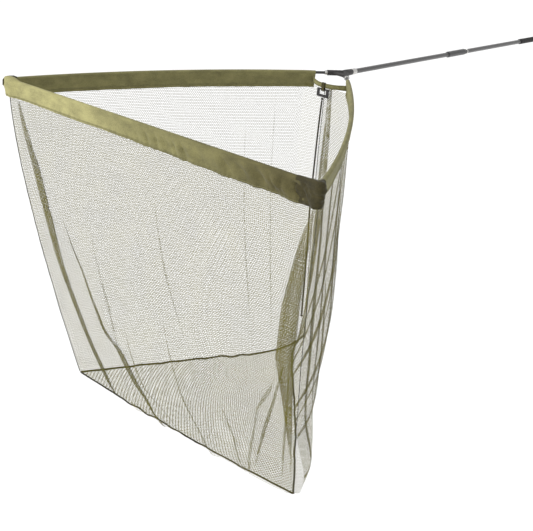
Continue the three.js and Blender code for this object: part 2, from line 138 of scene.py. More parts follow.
def grid_piece(name, rows, wrap=False, caps=False, cloth=None):
    """A surface through rows of points, with UVs from 0 to 1: across each row, and from the first row to the last.
    cloth gives rows of distances across the cloth instead, where the points aren't evenly spread on it."""
    shape = bmesh.new()
    across = len(rows[0])
    verts = [[shape.verts.new(p) for p in row] for row in rows]
    uv = shape.loops.layers.uv.new("UVMap")
    steps = across if wrap else across - 1
    for j in range(len(rows) - 1):
        for i in range(steps):
            k = (i + 1) % across
            face = shape.faces.new((verts[j][i], verts[j][k], verts[j + 1][k], verts[j + 1][i]))
            face.smooth = True
            corners = ((i, j), (i + 1, j), (i + 1, j + 1), (i, j + 1))
            for loop, (a, b) in zip(face.loops, corners):
                loop[uv].uv = (cloth[b][a] if cloth else a / steps, b / (len(rows) - 1))
    if caps:
        for row, turn in ((verts[0], -1), (verts[-1], 1)):
            face = shape.faces.new(row[::turn])
            for loop in face.loops:
                loop[uv].uv = (0.5, 0.5)
    mesh = bpy.data.meshes.new(name)
    shape.to_mesh(mesh)
    shape.free()
    return link(name, mesh)


def outwards(piece):
    """Points the faces of a closed piece outwards."""
    shape = bmesh.new()
    shape.from_mesh(piece.data)
    bmesh.ops.recalc_face_normals(shape, faces=shape.faces)
    shape.to_mesh(piece.data)
    shape.free()
    return piece


def path_frames(points):
    """The points of a path with a steady pair of side directions at each."""
    frames = []
    side = None
    for i, p in enumerate(points):
        ahead = (points[min(i + 1, len(points) - 1)] - points[max(i - 1, 0)]).normalized()
        if side is None:
            side = ahead.orthogonal().normalized()
        side = (side - ahead * side.dot(ahead)).normalized()
        frames.append((p, side, ahead.cross(side)))
    return frames


def spline(points, per_span):
    """A smooth curve through the points."""
    out = []
    for i in range(len(points) - 1):
        a, b, c, d = (points[min(max(i + k, 0), len(points) - 1)] for k in (-1, 0, 1, 2))
        for j in range(per_span):
            t = j / per_span
            out.append(0.5 * ((2 * b) + (c - a) * t + (2 * a - 5 * b + 4 * c - d) * t * t
                              + (3 * b - a - 3 * c + d) * t ** 3))
    out.append(points[-1].copy())
    return out


def cord_piece(name, points, radius, sides=10, bumps=0.0, bump_pitch=0.01):
    """A round cord along a path, closed at its ends, with its radius swelling a little along it."""
    rows = []
    run = 0.0
    for i, (p, a, b) in enumerate(path_frames(points)):
        if i:
            run += (points[i] - points[i - 1]).length
        r = radius * (1 + bumps * math.sin(2 * math.pi * run / bump_pitch))
        rows.append([p + (a * math.cos(t) + b * math.sin(t)) * r
                     for t in (2 * math.pi * k / sides for k in range(sides))])
    return outwards(grid_piece(name, rows, wrap=True, caps=True))


def only(obj):
    """Leaves one object selected and active."""
    for other in bpy.context.selected_objects:
        other.select_set(False)
    obj.select_set(True)
    bpy.context.view_layer.objects.active = obj


def softened(node, name, width):
    """A copy of a hard CAD piece with its sharp edges rounded."""
    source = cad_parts[node]
    mesh = source.data.copy()
    mesh.materials.clear()
    piece = link(name, mesh)
    piece.matrix_world = source.matrix_world.copy()
    only(piece)
    bpy.ops.object.transform_apply(location=True, rotation=True, scale=True)
    bpy.ops.object.mode_set(mode="EDIT")
    bpy.ops.mesh.select_all(action="SELECT")
    bpy.ops.mesh.remove_doubles(threshold=1e-6)
    bpy.ops.mesh.dissolve_limited(angle_limit=math.radians(1))
    bpy.ops.object.mode_set(mode="OBJECT")
    edge = piece.modifiers.new("rounding", "BEVEL")
    edge.width = width
    edge.segments = 2
    edge.limit_method = "ANGLE"
    edge.angle_limit = SHARP
    edge.use_clamp_overlap = True
    bpy.ops.object.modifier_apply(modifier=edge.name)
    bpy.ops.object.shade_smooth_by_angle(angle=SHARP)
    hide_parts(node)
    return piece


# --- making materials ---
TAPE_PITCH = 0.0026  # from one ring of the wrapping tape to the next
GRIP_DIAMOND = 0.004  # length of a diamond on the grip
GRIP_ROWS = 16  # diamonds round the grip


class Nodes:
    """Adds and joins the nodes of a tree."""

    def __init__(self, tree):
        self.tree = tree

    def add(self, kind, operation=None, **sockets):
        node = self.tree.nodes.new(kind)
        if operation:
            node.operation = operation
        for name, value in sockets.items():
            key = int(name[1:]) if name[0] == "_" else name.replace("_", " ")
            self.set(node.inputs[key], value)
        return node

    def set(self, socket, value):
        if isinstance(value, bpy.types.NodeSocket):
            self.tree.links.new(value, socket)
        else:
            socket.default_value = value

    def math(self, operation, a, b=0.0, c=0.0):
        node = self.add("ShaderNodeMath", operation, _0=a, _1=b)
        if operation == "MULTIPLY_ADD":
            self.set(node.inputs[2], c)
        return node.outputs[0]

    def vector(self, operation, a, b=(0, 0, 0)):
        node = self.add("ShaderNodeVectorMath", operation, _0=a, _1=b)
        return node.outputs["Value"] if operation == "DOT_PRODUCT" else node.outputs["Vector"]

    def range(self, value, low, high, to_low=0.0, to_high=1.0, easing="LINEAR"):
        node = self.add("ShaderNodeMapRange", Value=value)
        node.interpolation_type = easing
        for key, number in (("From Min", low), ("From Max", high), ("To Min", to_low), ("To Max", to_high)):
            self.set(node.inputs[key], number)
        return node.outputs["Result"]

    def color(self, factor, a, b, blend="MIX"):
        node = self.tree.nodes.new("ShaderNodeMix")
        node.data_type = "RGBA"
        node.blend_type = blend
        for socket, value in ((node.inputs[0], factor), (node.inputs[6], a), (node.inputs[7], b)):
            self.set(socket, value)
        return node.outputs[2]

    def noise(self, vector, scale, detail=2.0, roughness=0.5):
        node = self.add("ShaderNodeTexNoise", Vector=vector, Scale=scale, Detail=detail, Roughness=roughness)
        return node.outputs["Fac"]


def group(name, inputs, outputs, build):
    """A node group with named inputs and outputs, built once."""
    if name in bpy.data.node_groups:
        return bpy.data.node_groups[name]
    tree = bpy.data.node_groups.new(name, "ShaderNodeTree")
    for label, kind, default in inputs:
        socket = tree.interface.new_socket(label, in_out="INPUT", socket_type=kind)
        if default is not None:
            socket.default_value = default
    for label, kind in outputs:
        tree.interface.new_socket(label, in_out="OUTPUT", socket_type=kind)
    source = tree.nodes.new("NodeGroupInput")
    sink = tree.nodes.new("NodeGroupOutput")
    for label, value in build(Nodes(tree), source.outputs).items():
        tree.links.new(value, sink.inputs[label])
    return tree


def place(nodes, tree, **sockets):
    """Puts a node group in a material."""
    node = nodes.tree.nodes.new("ShaderNodeGroup")
    node.node_tree = tree
    for name, value in sockets.items():
        nodes.set(node.inputs[name.replace("_", " ")], value)
    return node.outputs


def material(name, roughness, **constants):
    """A material with its Principled shader; constants are set on the shader's own sockets."""
    made = bpy.data.materials.new(name)
    made.use_nodes = True
    nodes = Nodes(made.node_tree)
    shader = made.node_tree.nodes["Principled BSDF"]
    shader.inputs["Roughness"].default_value = roughness
    for key, value in constants.items():
        shader.inputs[key.replace("_", " ")].default_value = value
    return made, nodes, shader


def bump(nodes, shader, height, distance):
    """Raises a surface by height times distance, which is in metres."""
    node = nodes.add("ShaderNodeBump", Height=height)
    node.inputs["Distance"].default_value = distance
    node.inputs["Strength"].default_value = 1.0
    nodes.set(shader.inputs["Normal"], node.outputs["Normal"])


def tint(color, factor):
    """A colour made lighter or darker by a factor."""
    return (color[0] * factor, color[1] * factor, color[2] * factor, 1)


def round_the_handle():
    """Turns object coordinates into distance along the handle and the angle round it."""
    def build(n, source):
        turned = n.add("ShaderNodeMapping", Vector=source["Vector"], Rotation=(0, RISE, 0)).outputs["Vector"]
        axes = n.add("ShaderNodeSeparateXYZ", Vector=turned).outputs
        angle = n.math("ARCTAN2", axes["Y"], axes["Z"])
        return {"Along": axes["X"], "Angle": angle}
    return group("round the handle", [("Vector", "NodeSocketVector", None)],
                 [("Along", "NodeSocketFloat"), ("Angle", "NodeSocketFloat")], build)


def woven_cloth():
    """A plain weave, with its thread heights and a mottled shade that is partly uneven dye and partly painted shade of
    wrinkles; the raised threads are painted lighter, as painted light.
    """
    def build(n, source):
        axes = n.add("ShaderNodeSeparateXYZ", Vector=source["Vector"]).outputs
        u = n.math("MULTIPLY", n.math("DIVIDE", axes["X"], source["Thread"]), math.pi)
        v = n.math("MULTIPLY", n.math("DIVIDE", axes["Y"], source["Thread"]), math.pi)
        over = n.math("MULTIPLY", n.math("SINE", u), n.math("SINE", v))
        warp = n.math("ABSOLUTE", n.math("SINE", u))
        weft = n.math("ABSOLUTE", n.math("SINE", v))
        lift = n.math("MULTIPLY_ADD", over, 0.5, 0.5)
        height = n.math("ADD", n.math("MULTIPLY", warp, lift),
                        n.math("MULTIPLY", weft, n.math("SUBTRACT", 1.0, lift)))
        slub = n.noise(source["Vector"], 420.0, 2.0, 0.6)
        cloud = n.noise(n.vector("MULTIPLY", source["Vector"], (1.3, 0.8, 1.0)), 26.0, 4.0, 0.6)
        # Mottled shade: partly uneven dye, and partly painted shade standing in for the shade of wrinkles.
        shade = n.range(n.math("ADD", n.math("MULTIPLY", slub, 0.45), n.math("MULTIPLY", cloud, 0.55)), 0.18, 0.82)
        # Painted light: the raised threads of the weave are painted lighter.
        shade = n.math("ADD", n.range(shade, 0.3, 0.7, 0.0, 0.75), n.math("MULTIPLY", height, 0.25))
        return {"Height": n.math("ADD", height, n.math("MULTIPLY", slub, 0.8)), "Shade": shade}
    return group("woven cloth",
                 [("Vector", "NodeSocketVector", None), ("Thread", "NodeSocketFloat", 0.0012)],
                 [("Height", "NodeSocketFloat"), ("Shade", "NodeSocketFloat")], build)


def stitch_line():
    """One line of stitches that runs along the surface: 1 on the thread, and a dip round it."""
    def build(n, source):
        beat = n.math("FRACT", n.math("DIVIDE", source["Along"], source["Stitch"]))
        gap = n.range(n.math("ABSOLUTE", n.math("SUBTRACT", beat, 0.5)), 0.32, 0.4, 1.0, 0.0)
        off = n.math("ABSOLUTE", n.math("SUBTRACT", source["Across"], source["Line"]))
        thread = n.math("MULTIPLY", gap, n.range(off, 0.0004, 0.0008, 1.0, 0.0))
        dip = n.range(off, 0.0008, 0.003, 1.0, 0.0, "SMOOTHSTEP")
        return {"Thread": thread, "Dip": dip}
    return group("stitch line",
                 [("Along", "NodeSocketFloat", 0.0), ("Across", "NodeSocketFloat", 0.0),
                  ("Line", "NodeSocketFloat", 0.0), ("Stitch", "NodeSocketFloat", 0.005)],
                 [("Thread", "NodeSocketFloat"), ("Dip", "NodeSocketFloat")], build)


def hexagon_net():
    """A six-sided net: 1 on its threads and 0 in its holes. The vector counts cells."""
    def build(n, source):
        cell = (1.0, math.sqrt(3), 1.0)
        half = (0.5, math.sqrt(3) / 2, 0.5)
        wobble = n.add("ShaderNodeTexNoise", Vector=source["Vector"], Scale=0.04, Detail=1.0).outputs["Color"]
        bent = n.vector("ADD", source["Vector"], n.vector("MULTIPLY", wobble, (0.2, 0.2, 0.0)))
        flat = n.vector("MULTIPLY", bent, (1, 1, 0))
        a = n.vector("SUBTRACT", n.vector("MODULO", flat, cell), half)
        b = n.vector("SUBTRACT", n.vector("MODULO", n.vector("ADD", flat, half), cell), half)
        nearer = n.math("LESS_THAN", n.vector("DOT_PRODUCT", a, a), n.vector("DOT_PRODUCT", b, b))
        pick = n.tree.nodes.new("ShaderNodeMix")
        pick.data_type = "VECTOR"
        for socket, value in ((pick.inputs[0], nearer), (pick.inputs[4], b), (pick.inputs[5], a)):
            n.set(socket, value)
        axes = n.add("ShaderNodeSeparateXYZ", Vector=n.vector("ABSOLUTE", pick.outputs[1])).outputs
        slanted = n.math("ADD", n.math("MULTIPLY", axes["X"], 0.5), n.math("MULTIPLY", axes["Y"], math.sqrt(3) / 2))
        edge = n.math("SUBTRACT", 0.5, n.math("MAXIMUM", axes["X"], slanted))
        inner = n.math("MULTIPLY", source["Thread"], 0.42)
        outer = n.math("MULTIPLY", source["Thread"], 0.58)
        return {"Thread": n.range(edge, inner, outer, 1.0, 0.0)}
    return group("hexagon net",
                 [("Vector", "NodeSocketVector", None), ("Thread", "NodeSocketFloat", 0.08)],
                 [("Thread", "NodeSocketFloat")], build)


def moulded_grain():
    """The fine grain of a moulded surface, with a slow change of shade over it."""
    def build(n, source):
        fine = n.noise(source["Vector"], source["Scale"], 3.0, 0.6)
        slow = n.noise(source["Vector"], 38.0, 2.0, 0.5)
        both = n.math("MULTIPLY_ADD", slow, 0.7, n.math("MULTIPLY", fine, 0.3))
        return {"Height": fine, "Shade": n.range(both, 0.35, 0.65)}
    return group("moulded grain",
                 [("Vector", "NodeSocketVector", None), ("Scale", "NodeSocketFloat", 2600.0)],
                 [("Height", "NodeSocketFloat"), ("Shade", "NodeSocketFloat")], build)


def coordinates(nodes, output="Object"):
    """The object's own coordinates in a material, or its UVs."""
    return nodes.tree.nodes.new("ShaderNodeTexCoord").outputs[output]


def crossing_lines(n, along, turn):
    """Two sets of ridges that cross: each is 1 on its ridges and 0 between them."""
    return [n.math("ABSOLUTE", n.math("SINE", n.math("MULTIPLY", n.math(way, along, turn), math.pi)))
            for way in ("ADD", "SUBTRACT")]


def carbon_finish(name, color, follow_handle=True):
    """Wrapped carbon under a clear lacquer, with the fine rings that the wrapping tape leaves."""
    made, n, shader = material(name, 0.4, Coat_Weight=0.55, Coat_Roughness=0.22, Specular_IOR_Level=0.5)
    spot = coordinates(n)
    if follow_handle:
        round_it = place(n, round_the_handle(), Vector=spot)
        along = round_it["Along"]
        turn = n.math("DIVIDE", round_it["Angle"], 2 * math.pi)
    else:
        along = n.vector("DOT_PRODUCT", spot, (0.78, 0.1, 0))
        turn = 0.0
    ring = n.math("ADD", n.math("DIVIDE", along, TAPE_PITCH), turn)
    ridge = n.math("SINE", n.math("MULTIPLY", ring, 2 * math.pi))
    cloud = n.noise(n.vector("MULTIPLY", spot, (1, 3, 3)), 60.0, 3.0, 0.6)
    # Painted light and shade: the tape's rings are painted a little lighter on their crests and darker in their
    # valleys, following their bump.
    shade = n.math("ADD", n.range(cloud, 0.3, 0.7, 0.0, 0.8), n.math("MULTIPLY_ADD", ridge, 0.1, 0.1))
    n.set(shader.inputs["Base Color"], n.color(shade, tint(color, 0.75), tint(color, 1.35)))
    n.set(shader.inputs["Roughness"], n.range(cloud, 0.3, 0.7, 0.32, 0.46))
    bump(n, shader, ridge, 0.00006)
    return made


def rubber_finish(name, color):
    """A shrunk rubber grip with a cross-hatched face, its raised diamonds painted paler than its grooves, as painted
    shade in the grooves.
    """
    made, n, shader = material(name, 0.75, Specular_IOR_Level=0.35)
    spot = coordinates(n)
    round_it = place(n, round_the_handle(), Vector=spot)
    along = n.math("DIVIDE", round_it["Along"], GRIP_DIAMOND)
    turn = n.math("DIVIDE", round_it["Angle"], 2 * math.pi / GRIP_ROWS)
    diamonds = n.math("MINIMUM", *crossing_lines(n, along, turn))
    grain = place(n, moulded_grain(), Vector=spot, Scale=1800.0)
    raised = n.range(diamonds, 0.0, 0.45, 0.0, 1.0, "SMOOTHSTEP")
    # Painted shade: the grooves between the diamonds are painted darker than the raised diamonds.
    shade = n.math("ADD", n.math("MULTIPLY", raised, 0.5), n.math("MULTIPLY", grain["Shade"], 0.5))
    n.set(shader.inputs["Base Color"], n.color(shade, tint(color, 0.6), tint(color, 1.5)))
    n.set(shader.inputs["Roughness"], n.range(raised, 0.0, 1.0, 0.85, 0.62))
    bump(n, shader, n.math("MULTIPLY_ADD", grain["Height"], 0.2, raised), 0.00035)
    return made


def sleeve_finish(name, color):
    """The smooth black ferrule, with fine lengthwise drawing marks."""
    made, n, shader = material(name, 0.35, Coat_Weight=0.3, Coat_Roughness=0.3)
    spot = coordinates(n)
    marks = n.noise(n.vector("MULTIPLY", spot, (60, 1200, 1200)), 1.0, 3.0, 0.6)
    grain = place(n, moulded_grain(), Vector=spot, Scale=900.0)
    n.set(shader.inputs["Base Color"], n.color(grain["Shade"], tint(color, 0.8), tint(color, 1.3)))
    n.set(shader.inputs["Roughness"], n.range(marks, 0.3, 0.7, 0.3, 0.48))
    bump(n, shader, marks, 0.00004)
    return made


def metal_finish(name, color):
    """Turned metal: rings from the lathe and a soft clouding."""
    made, n, shader = material(name, 0.3, Metallic=1.0)
    spot = coordinates(n)
    along = place(n, round_the_handle(), Vector=spot)["Along"]
    rings = n.noise(n.vector("MULTIPLY", n.add("ShaderNodeCombineXYZ", X=along).outputs["Vector"], (2600, 1, 1)),
                    1.0, 2.0, 0.6)
    cloud = n.noise(spot, 160.0, 3.0, 0.6)
    n.set(shader.inputs["Base Color"], n.color(cloud, tint(color, 0.8), tint(color, 1.1)))
    n.set(shader.inputs["Roughness"], n.range(cloud, 0.3, 0.7, 0.22, 0.42))
    bump(n, shader, rings, 0.00004)
    return made


def plastic_finish(name, color):
    """Glass-filled moulded plastic with a fine spark-eroded grain."""
    made, n, shader = material(name, 0.5, Specular_IOR_Level=0.5)
    spot = coordinates(n)
    grain = place(n, moulded_grain(), Vector=spot, Scale=1500.0)
    n.set(shader.inputs["Base Color"], n.color(grain["Shade"], tint(color, 0.75), tint(color, 1.35)))
    n.set(shader.inputs["Roughness"], n.range(grain["Height"], 0.3, 0.7, 0.42, 0.62))
    bump(n, shader, grain["Height"], 0.00012)
    return made


def cloth_finish(name, color, size, lines, shade_low=0.55, shade_high=1.42, painted_lighting=None):
    """Woven fabric on a piece's own UVs. size is the piece in metres, and lines are where stitches run across it."""
    made, n, shader = material(name, 0.85, Sheen_Weight=0.06, Sheen_Roughness=0.5, Specular_IOR_Level=0.3)
    flat = n.vector("MULTIPLY", coordinates(n, "UV"), (size[0], size[1], 1))
    axes = n.add("ShaderNodeSeparateXYZ", Vector=flat).outputs
    cloth = place(n, woven_cloth(), Vector=flat)
    # The cloth's mottled shade is partly dye and partly painted shade, with painted light on its raised threads.
    base = n.color(cloth["Shade"], tint(color, shade_low), tint(color, shade_high))
    # Painted light and shade along the piece: its colour is multiplied by the given factor, eased in between the two
    # given distances from its first row.
    if painted_lighting:
        painted_lighting_mask = n.range(axes["Y"], painted_lighting[0], painted_lighting[1], 0.0, 1.0, "SMOOTHSTEP")
        base = n.color(painted_lighting_mask, base, n.color(1.0, base, painted_lighting[2], "MULTIPLY"))
    height = cloth["Height"]
    for line in lines:
        stitch = place(n, stitch_line(), Along=axes["Y"], Across=axes["X"], Line=line)
        # Painted shade: the dip round each line of stitches is painted darker.
        base = n.color(n.math("MULTIPLY", stitch["Dip"], 0.45), base, tint(color, 0.35))
        base = n.color(stitch["Thread"], base, tint(color, 1.25))
        height = n.math("SUBTRACT", height, n.math("MULTIPLY", stitch["Dip"], 3.0))
        height = n.math("ADD", height, n.math("MULTIPLY", stitch["Thread"], 3.0))
    n.set(shader.inputs["Base Color"], base)
    n.set(shader.inputs["Roughness"], n.range(cloth["Height"], 0.2, 1.2, 0.9, 0.74))
    bump(n, shader, height, 0.00022)
    return made


def net_finish(name, color, size, pitch, thread):
    """Knotless six-sided netting on a panel's own UVs. size is the flat panel in metres."""
    made, n, shader = material(name, 0.7, Specular_IOR_Level=0.3)
    spread = coordinates(n, "UV")
    cells = n.vector("MULTIPLY", spread, (size[0] / pitch, size[1] / pitch, 0))
    strands = place(n, hexagon_net(), Vector=cells, Thread=thread / pitch)
    cloud = n.noise(n.vector("MULTIPLY", spread, (size[0], size[1], 0)), 9.0, 3.0, 0.6)
    shade = n.range(cloud, 0.3, 0.7)
    n.set(shader.inputs["Base Color"], n.color(shade, tint(color, 0.75), tint(color, 1.25)))
    n.set(shader.inputs["Roughness"], n.range(cloud, 0.3, 0.7, 0.6, 0.8))
    n.set(shader.inputs["Alpha"], strands["Thread"])
    made.surface_render_method = "DITHERED"
    return made


def cord_finish(name, color, length, girth):
    """A braided cord on its own UVs: strands that cross round it, painted darker in the grooves between them as
    painted shade.
    """
    made, n, shader = material(name, 0.8, Sheen_Weight=0.2, Specular_IOR_Level=0.3)
    axes = n.add("ShaderNodeSeparateXYZ", Vector=coordinates(n, "UV")).outputs
    along = n.math("MULTIPLY", axes["Y"], length / girth)
    round_it = n.math("MULTIPLY", axes["X"], 3.0)
    braid = n.math("MAXIMUM", *crossing_lines(n, along, round_it))
    fuzz = n.noise(coordinates(n), 900.0, 2.0, 0.6)
    # Painted shade: the grooves between the braid's strands are painted darker than the strands' crowns.
    shade = n.math("ADD", n.math("MULTIPLY", braid, 0.6), n.math("MULTIPLY", fuzz, 0.4))
    n.set(shader.inputs["Base Color"], n.color(shade, tint(color, 0.5), tint(color, 1.5)))
    n.set(shader.inputs["Roughness"], n.range(fuzz, 0.3, 0.7, 0.7, 0.9))
    bump(n, shader, braid, 0.0003)
    return made


def dress(piece, finish):
    """Gives a piece its one material."""
    piece.data.materials.clear()
    piece.data.materials.append(finish)


def dress_node(name, finish):
    """Gives a CAD piece that stays its material."""
    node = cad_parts[name]
    if not node.material_slots:
        node.data.materials.append(finish)
    for slot in node.material_slots:
        slot.material = finish


# --- settings ---
class NetStageSettings(bpy.types.PropertyGroup):
    """The floor, the lights and the lens"""
    floor_drop: FloatProperty(name="Floor drop", description="How far the floor lies below the bag",
                              default=0.95, unit="LENGTH")
    floor_color: FloatVectorProperty(name="Floor", description="Colour of the floor", subtype="COLOR",
                                     default=(0.95, 0.95, 0.95), min=0, max=1)
    sky: FloatProperty(name="Sky light", description="Strength of the even light from all round", default=0.82)
    key: FloatProperty(name="Key light", description="Strength of the broad light from the front left", default=2.5)
    lens: FloatProperty(name="Lens", description="Focal length of the camera", default=83.6)


class NetHandleSettings(bpy.types.PropertyGroup):
    """The colours of the handle, block and arms"""
    carbon: FloatVectorProperty(name="Carbon", description="Colour of the tubes and arms", subtype="COLOR",
                                default=(0.023, 0.0215, 0.0215), min=0, max=1)
    rubber: FloatVectorProperty(name="Rubber", description="Colour of the grip and caps", subtype="COLOR",
                                default=(0.014, 0.013, 0.013), min=0, max=1)
    sleeve: FloatVectorProperty(name="Ferrule", description="Colour of the joint's ferrule", subtype="COLOR",
                                default=(0.010, 0.010, 0.011), min=0, max=1)
    metal: FloatVectorProperty(name="Metal", description="Colour of the turned fittings", subtype="COLOR",
                               default=(0.62, 0.61, 0.59), min=0, max=1)
    plastic: FloatVectorProperty(name="Block", description="Colour of the spreader block and ring",
                                 subtype="COLOR", default=(0.016, 0.014, 0.014), min=0, max=1)


class NetClothSettings(bpy.types.PropertyGroup):
    """The colours of the cloth and cords, and the depth of the sleeves"""
    olive: FloatVectorProperty(name="Olive", description="Colour of the sleeves and the front hem",
                               subtype="COLOR", default=(0.185, 0.172, 0.070), min=0, max=1)
    # Painted light: this multiplies the olive paler at the front hem's left end, where light falls on it. The next
    # setting is painted shade: it multiplies the olive darker at the hem's right end.
    front_painted_light: FloatVectorProperty(name="Painted light on olive", description="How the front hem pales at its left end",
                                    subtype="COLOR", default=(1.75, 1.75, 1.9), min=0, max=4)
    front_shade: FloatVectorProperty(name="Shaded olive", description="How the front hem darkens at its right end",
                                     subtype="COLOR", default=(0.44, 0.41, 0.34), min=0, max=4)
    dark: FloatVectorProperty(name="Pocket", description="Colour of the tip pockets and the ring's tab",
                              subtype="COLOR", default=(0.044, 0.036, 0.008), min=0, max=1)
    cord: FloatVectorProperty(name="Cord", description="Colour of the cords and seams", subtype="COLOR",
                              default=(0.022, 0.019, 0.010), min=0, max=1)
    sleeve_depth: FloatProperty(name="Sleeve depth", description="From an arm's centre to its sleeve's lower edge",
                                default=0.046, unit="LENGTH")


class NetBagSettings(bpy.types.PropertyGroup):
    """The netting of the bag"""
    thread_color: FloatVectorProperty(name="Netting", description="Colour of the netting's thread",
                                      subtype="COLOR", default=(0.132, 0.116, 0.020), min=0, max=1)
    pitch: FloatProperty(name="Mesh", description="Width of one cell of the netting", default=0.0060,
                         unit="LENGTH")
    thread: FloatProperty(name="Thread", description="Thickness of the netting's thread", default=0.00070,
                          unit="LENGTH")
    columns: IntProperty(name="Columns", description="Steps across each panel", default=420)
    rows: IntProperty(name="Rows", description="Steps down each panel", default=76)


# --- the stage ---
CAMERA_AT = BLOCK + Vector((3.221, 1.966, 0.979))
CAMERA_YAW = -2.546
CAMERA_PITCH = -0.414
CAMERA_ROLL = 0.105


class NET_OT_stage(bpy.types.Operator):
    """The camera, the floor and the lights"""
    bl_idname = "net.stage"
    bl_label = "Stage"

    def execute(self, context):
        settings = context.scene.net_stage
        ahead = Vector((math.cos(CAMERA_PITCH) * math.cos(CAMERA_YAW),
                        math.cos(CAMERA_PITCH) * math.sin(CAMERA_YAW), math.sin(CAMERA_PITCH)))
        right = ahead.cross(Vector((0, 0, 1))).normalized()
        up = right.cross(ahead)
        tilted_right = math.cos(CAMERA_ROLL) * right + math.sin(CAMERA_ROLL) * up
        tilted_up = -math.sin(CAMERA_ROLL) * right + math.cos(CAMERA_ROLL) * up
        camera = bpy.data.objects.new("camera", bpy.data.cameras.new("camera"))
        camera.data.lens = settings.lens
        camera.data.sensor_width = 36
        turn = Matrix((tilted_right, tilted_up, -ahead)).transposed()
        camera.matrix_world = Matrix.Translation(CAMERA_AT) @ turn.to_4x4()
        context.scene.collection.objects.link(camera)
        context.scene.camera = camera

        low, high = CAD_BOX
        middle = Vector(((low[0] + high[0]) / 2, (low[1] + high[1]) / 2, low[2] - settings.floor_drop))
        bpy.ops.mesh.primitive_plane_add(size=60, location=middle)
        floor = context.active_object
        floor.name = "floor"
        finish, n, shader = material("floor", 0.9)
        cloud = n.noise(coordinates(n), 0.4, 2.0)
        n.set(shader.inputs["Base Color"], n.color(cloud, tint(settings.floor_color, 0.985),
                                                   tint(settings.floor_color, 1.0)))
        dress(floor, finish)

        world = bpy.data.worlds.new("soft light")
        world.use_nodes = True
        world.node_tree.nodes["Background"].inputs["Color"].default_value = (1, 1, 1, 1)
        world.node_tree.nodes["Background"].inputs["Strength"].default_value = settings.sky
        context.scene.world = world
        context.scene.view_settings.view_transform = "Standard"
        light = bpy.data.objects.new("key", bpy.data.lights.new("key", "SUN"))
        light.data.energy = settings.key
        light.data.angle = math.radians(35)
        light.rotation_euler = Vector((-0.80, 0.44, -0.42)).to_track_quat("-Z", "Y").to_euler()
        context.scene.collection.objects.link(light)
        return {"FINISHED"}


# --- the retainer cord ---
class NET_OT_retainer(bpy.types.Operator):
    """The cord from the retainer ring to the bottom of the bag, with a knot at each end"""
    bl_idname = "net.retainer"
    bl_label = "Retainer cord"

    def execute(self, context):
        color = context.scene.net_cloth.cord
        route = spline([BLOCK + Vector(p) * MM for p in RETAINER_ROUTE], 9)
        length = sum((b - a).length for a, b in zip(route, route[1:]))
        cord = cord_piece("retainer_line", route, 0.0026)
        dress(cord, cord_finish("retainer cord", color, length, 0.0094))
        knots = [self.knot("retainer_knot_top", route[0] + Vector((0, 0, 0.0048)), color),
                 self.knot("retainer_knot_bottom", route[-1] + Vector((0, 0, -0.0048)), color)]
        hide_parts("knot_top")
        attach(knots[0], "ring")
        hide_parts("knot_bottom")
        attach(knots[1], "head")
        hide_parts("retainer_cord")
        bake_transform(cord)
        return {"FINISHED"}

    def knot(self, name, at, color):
        """An overhand knot: one turn and a half of cord, packed into a ball."""
        turns = []
        steps, size = 72, 0.00105
        for i in range(steps):
            t = 2 * math.pi * i / steps
            turns.append(at + Vector(((math.sin(t) + 1.6 * math.sin(2 * t)) * size,
                                      (math.cos(t) - 1.6 * math.cos(2 * t)) * size,
                                      -1.9 * math.sin(3 * t) * size)))
        ball = cord_piece(name, turns, 0.0014)
        dress(ball, cord_finish(name.replace("_", " "), color, 0.05, 0.0088))
        return ball


# --- handle, block and arms ---
class NET_OT_handle(bpy.types.Operator):
    """The finishes of the handle's two sections, with their grip, ferrule and fittings"""
    bl_idname = "net.handle"
    bl_label = "Handle"

    def execute(self, context):
        settings = context.scene.net_handle
        tube = carbon_finish("wrapped carbon", settings.carbon)
        grip = rubber_finish("grip rubber", settings.rubber)
        cap = plastic_finish("cap rubber", settings.rubber)
        metal = metal_finish("turned metal", settings.metal)
        dress_node("butt_section", tube)
        dress_node("front_section", tube)
        dress_node("butt_grip", grip)
        dress_node("joint_ferrule", sleeve_finish("black ferrule", settings.sleeve))
        dress_node("thread_stud", metal)
        dress_node("seat_ring", cap)
        for node, width, finish, slot, body in (
                ("butt_cap", 0.0012, cap, "rubber", "butt"), ("stop_ring", 0.0004, metal, "metal", "butt"),
                ("front_collar", 0.0004, metal, "metal", "front")):
            piece = softened(node, node + "_turned", width)
            dress(piece, finish)
            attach(piece, body)
        return {"FINISHED"}


class NET_OT_spreader(bpy.types.Operator):
    """The spreader block, the arms with their ferrules and tips, and the retainer ring"""
    bl_idname = "net.spreader"
    bl_label = "Spreader block and arms"

    def execute(self, context):
        settings = context.scene.net_handle
        plastic = plastic_finish("block plastic", settings.plastic)
        metal = metal_finish("arm ferrule metal", settings.metal)
        rod = carbon_finish("solid carbon", settings.carbon, follow_handle=False)
        cap = plastic_finish("tip rubber", settings.rubber)
        for node, width, finish, slot, body in (
                ("spreader_block", 0.0007, plastic, "block_plastic", "head"),
                ("retainer_ring", 0.0009, plastic, "ring_plastic", "ring"),
                ("arm_ferrule_left", 0.0003, metal, "metal", "arm_left"),
                ("arm_ferrule_right", 0.0003, metal, "metal", "arm_right"),
                ("arm_tip_left", 0.0008, cap, "rubber", "arm_left"),
                ("arm_tip_right", 0.0008, cap, "rubber", "arm_right")):
            piece = softened(node, node + "_shaped", width)
            dress(piece, finish)
            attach(piece, body)
        dress_node("arm_left", rod)
        dress_node("arm_right", rod)
        cord = plastic_finish("eye cord", context.scene.net_cloth.cord)
        for node in ("cord_eye_left", "cord_eye_right", "front_cord"):
            dress_node(node, cord)
        return {"FINISHED"}


# --- sleeves, hems and pockets ---
WALL_STEPS = 12  # points up each wall of a hem's section
ROUND_STEPS = 12  # steps round the rod in it
SEAM_EDGE = 0.007  # from a hem's lower edge to its stitches


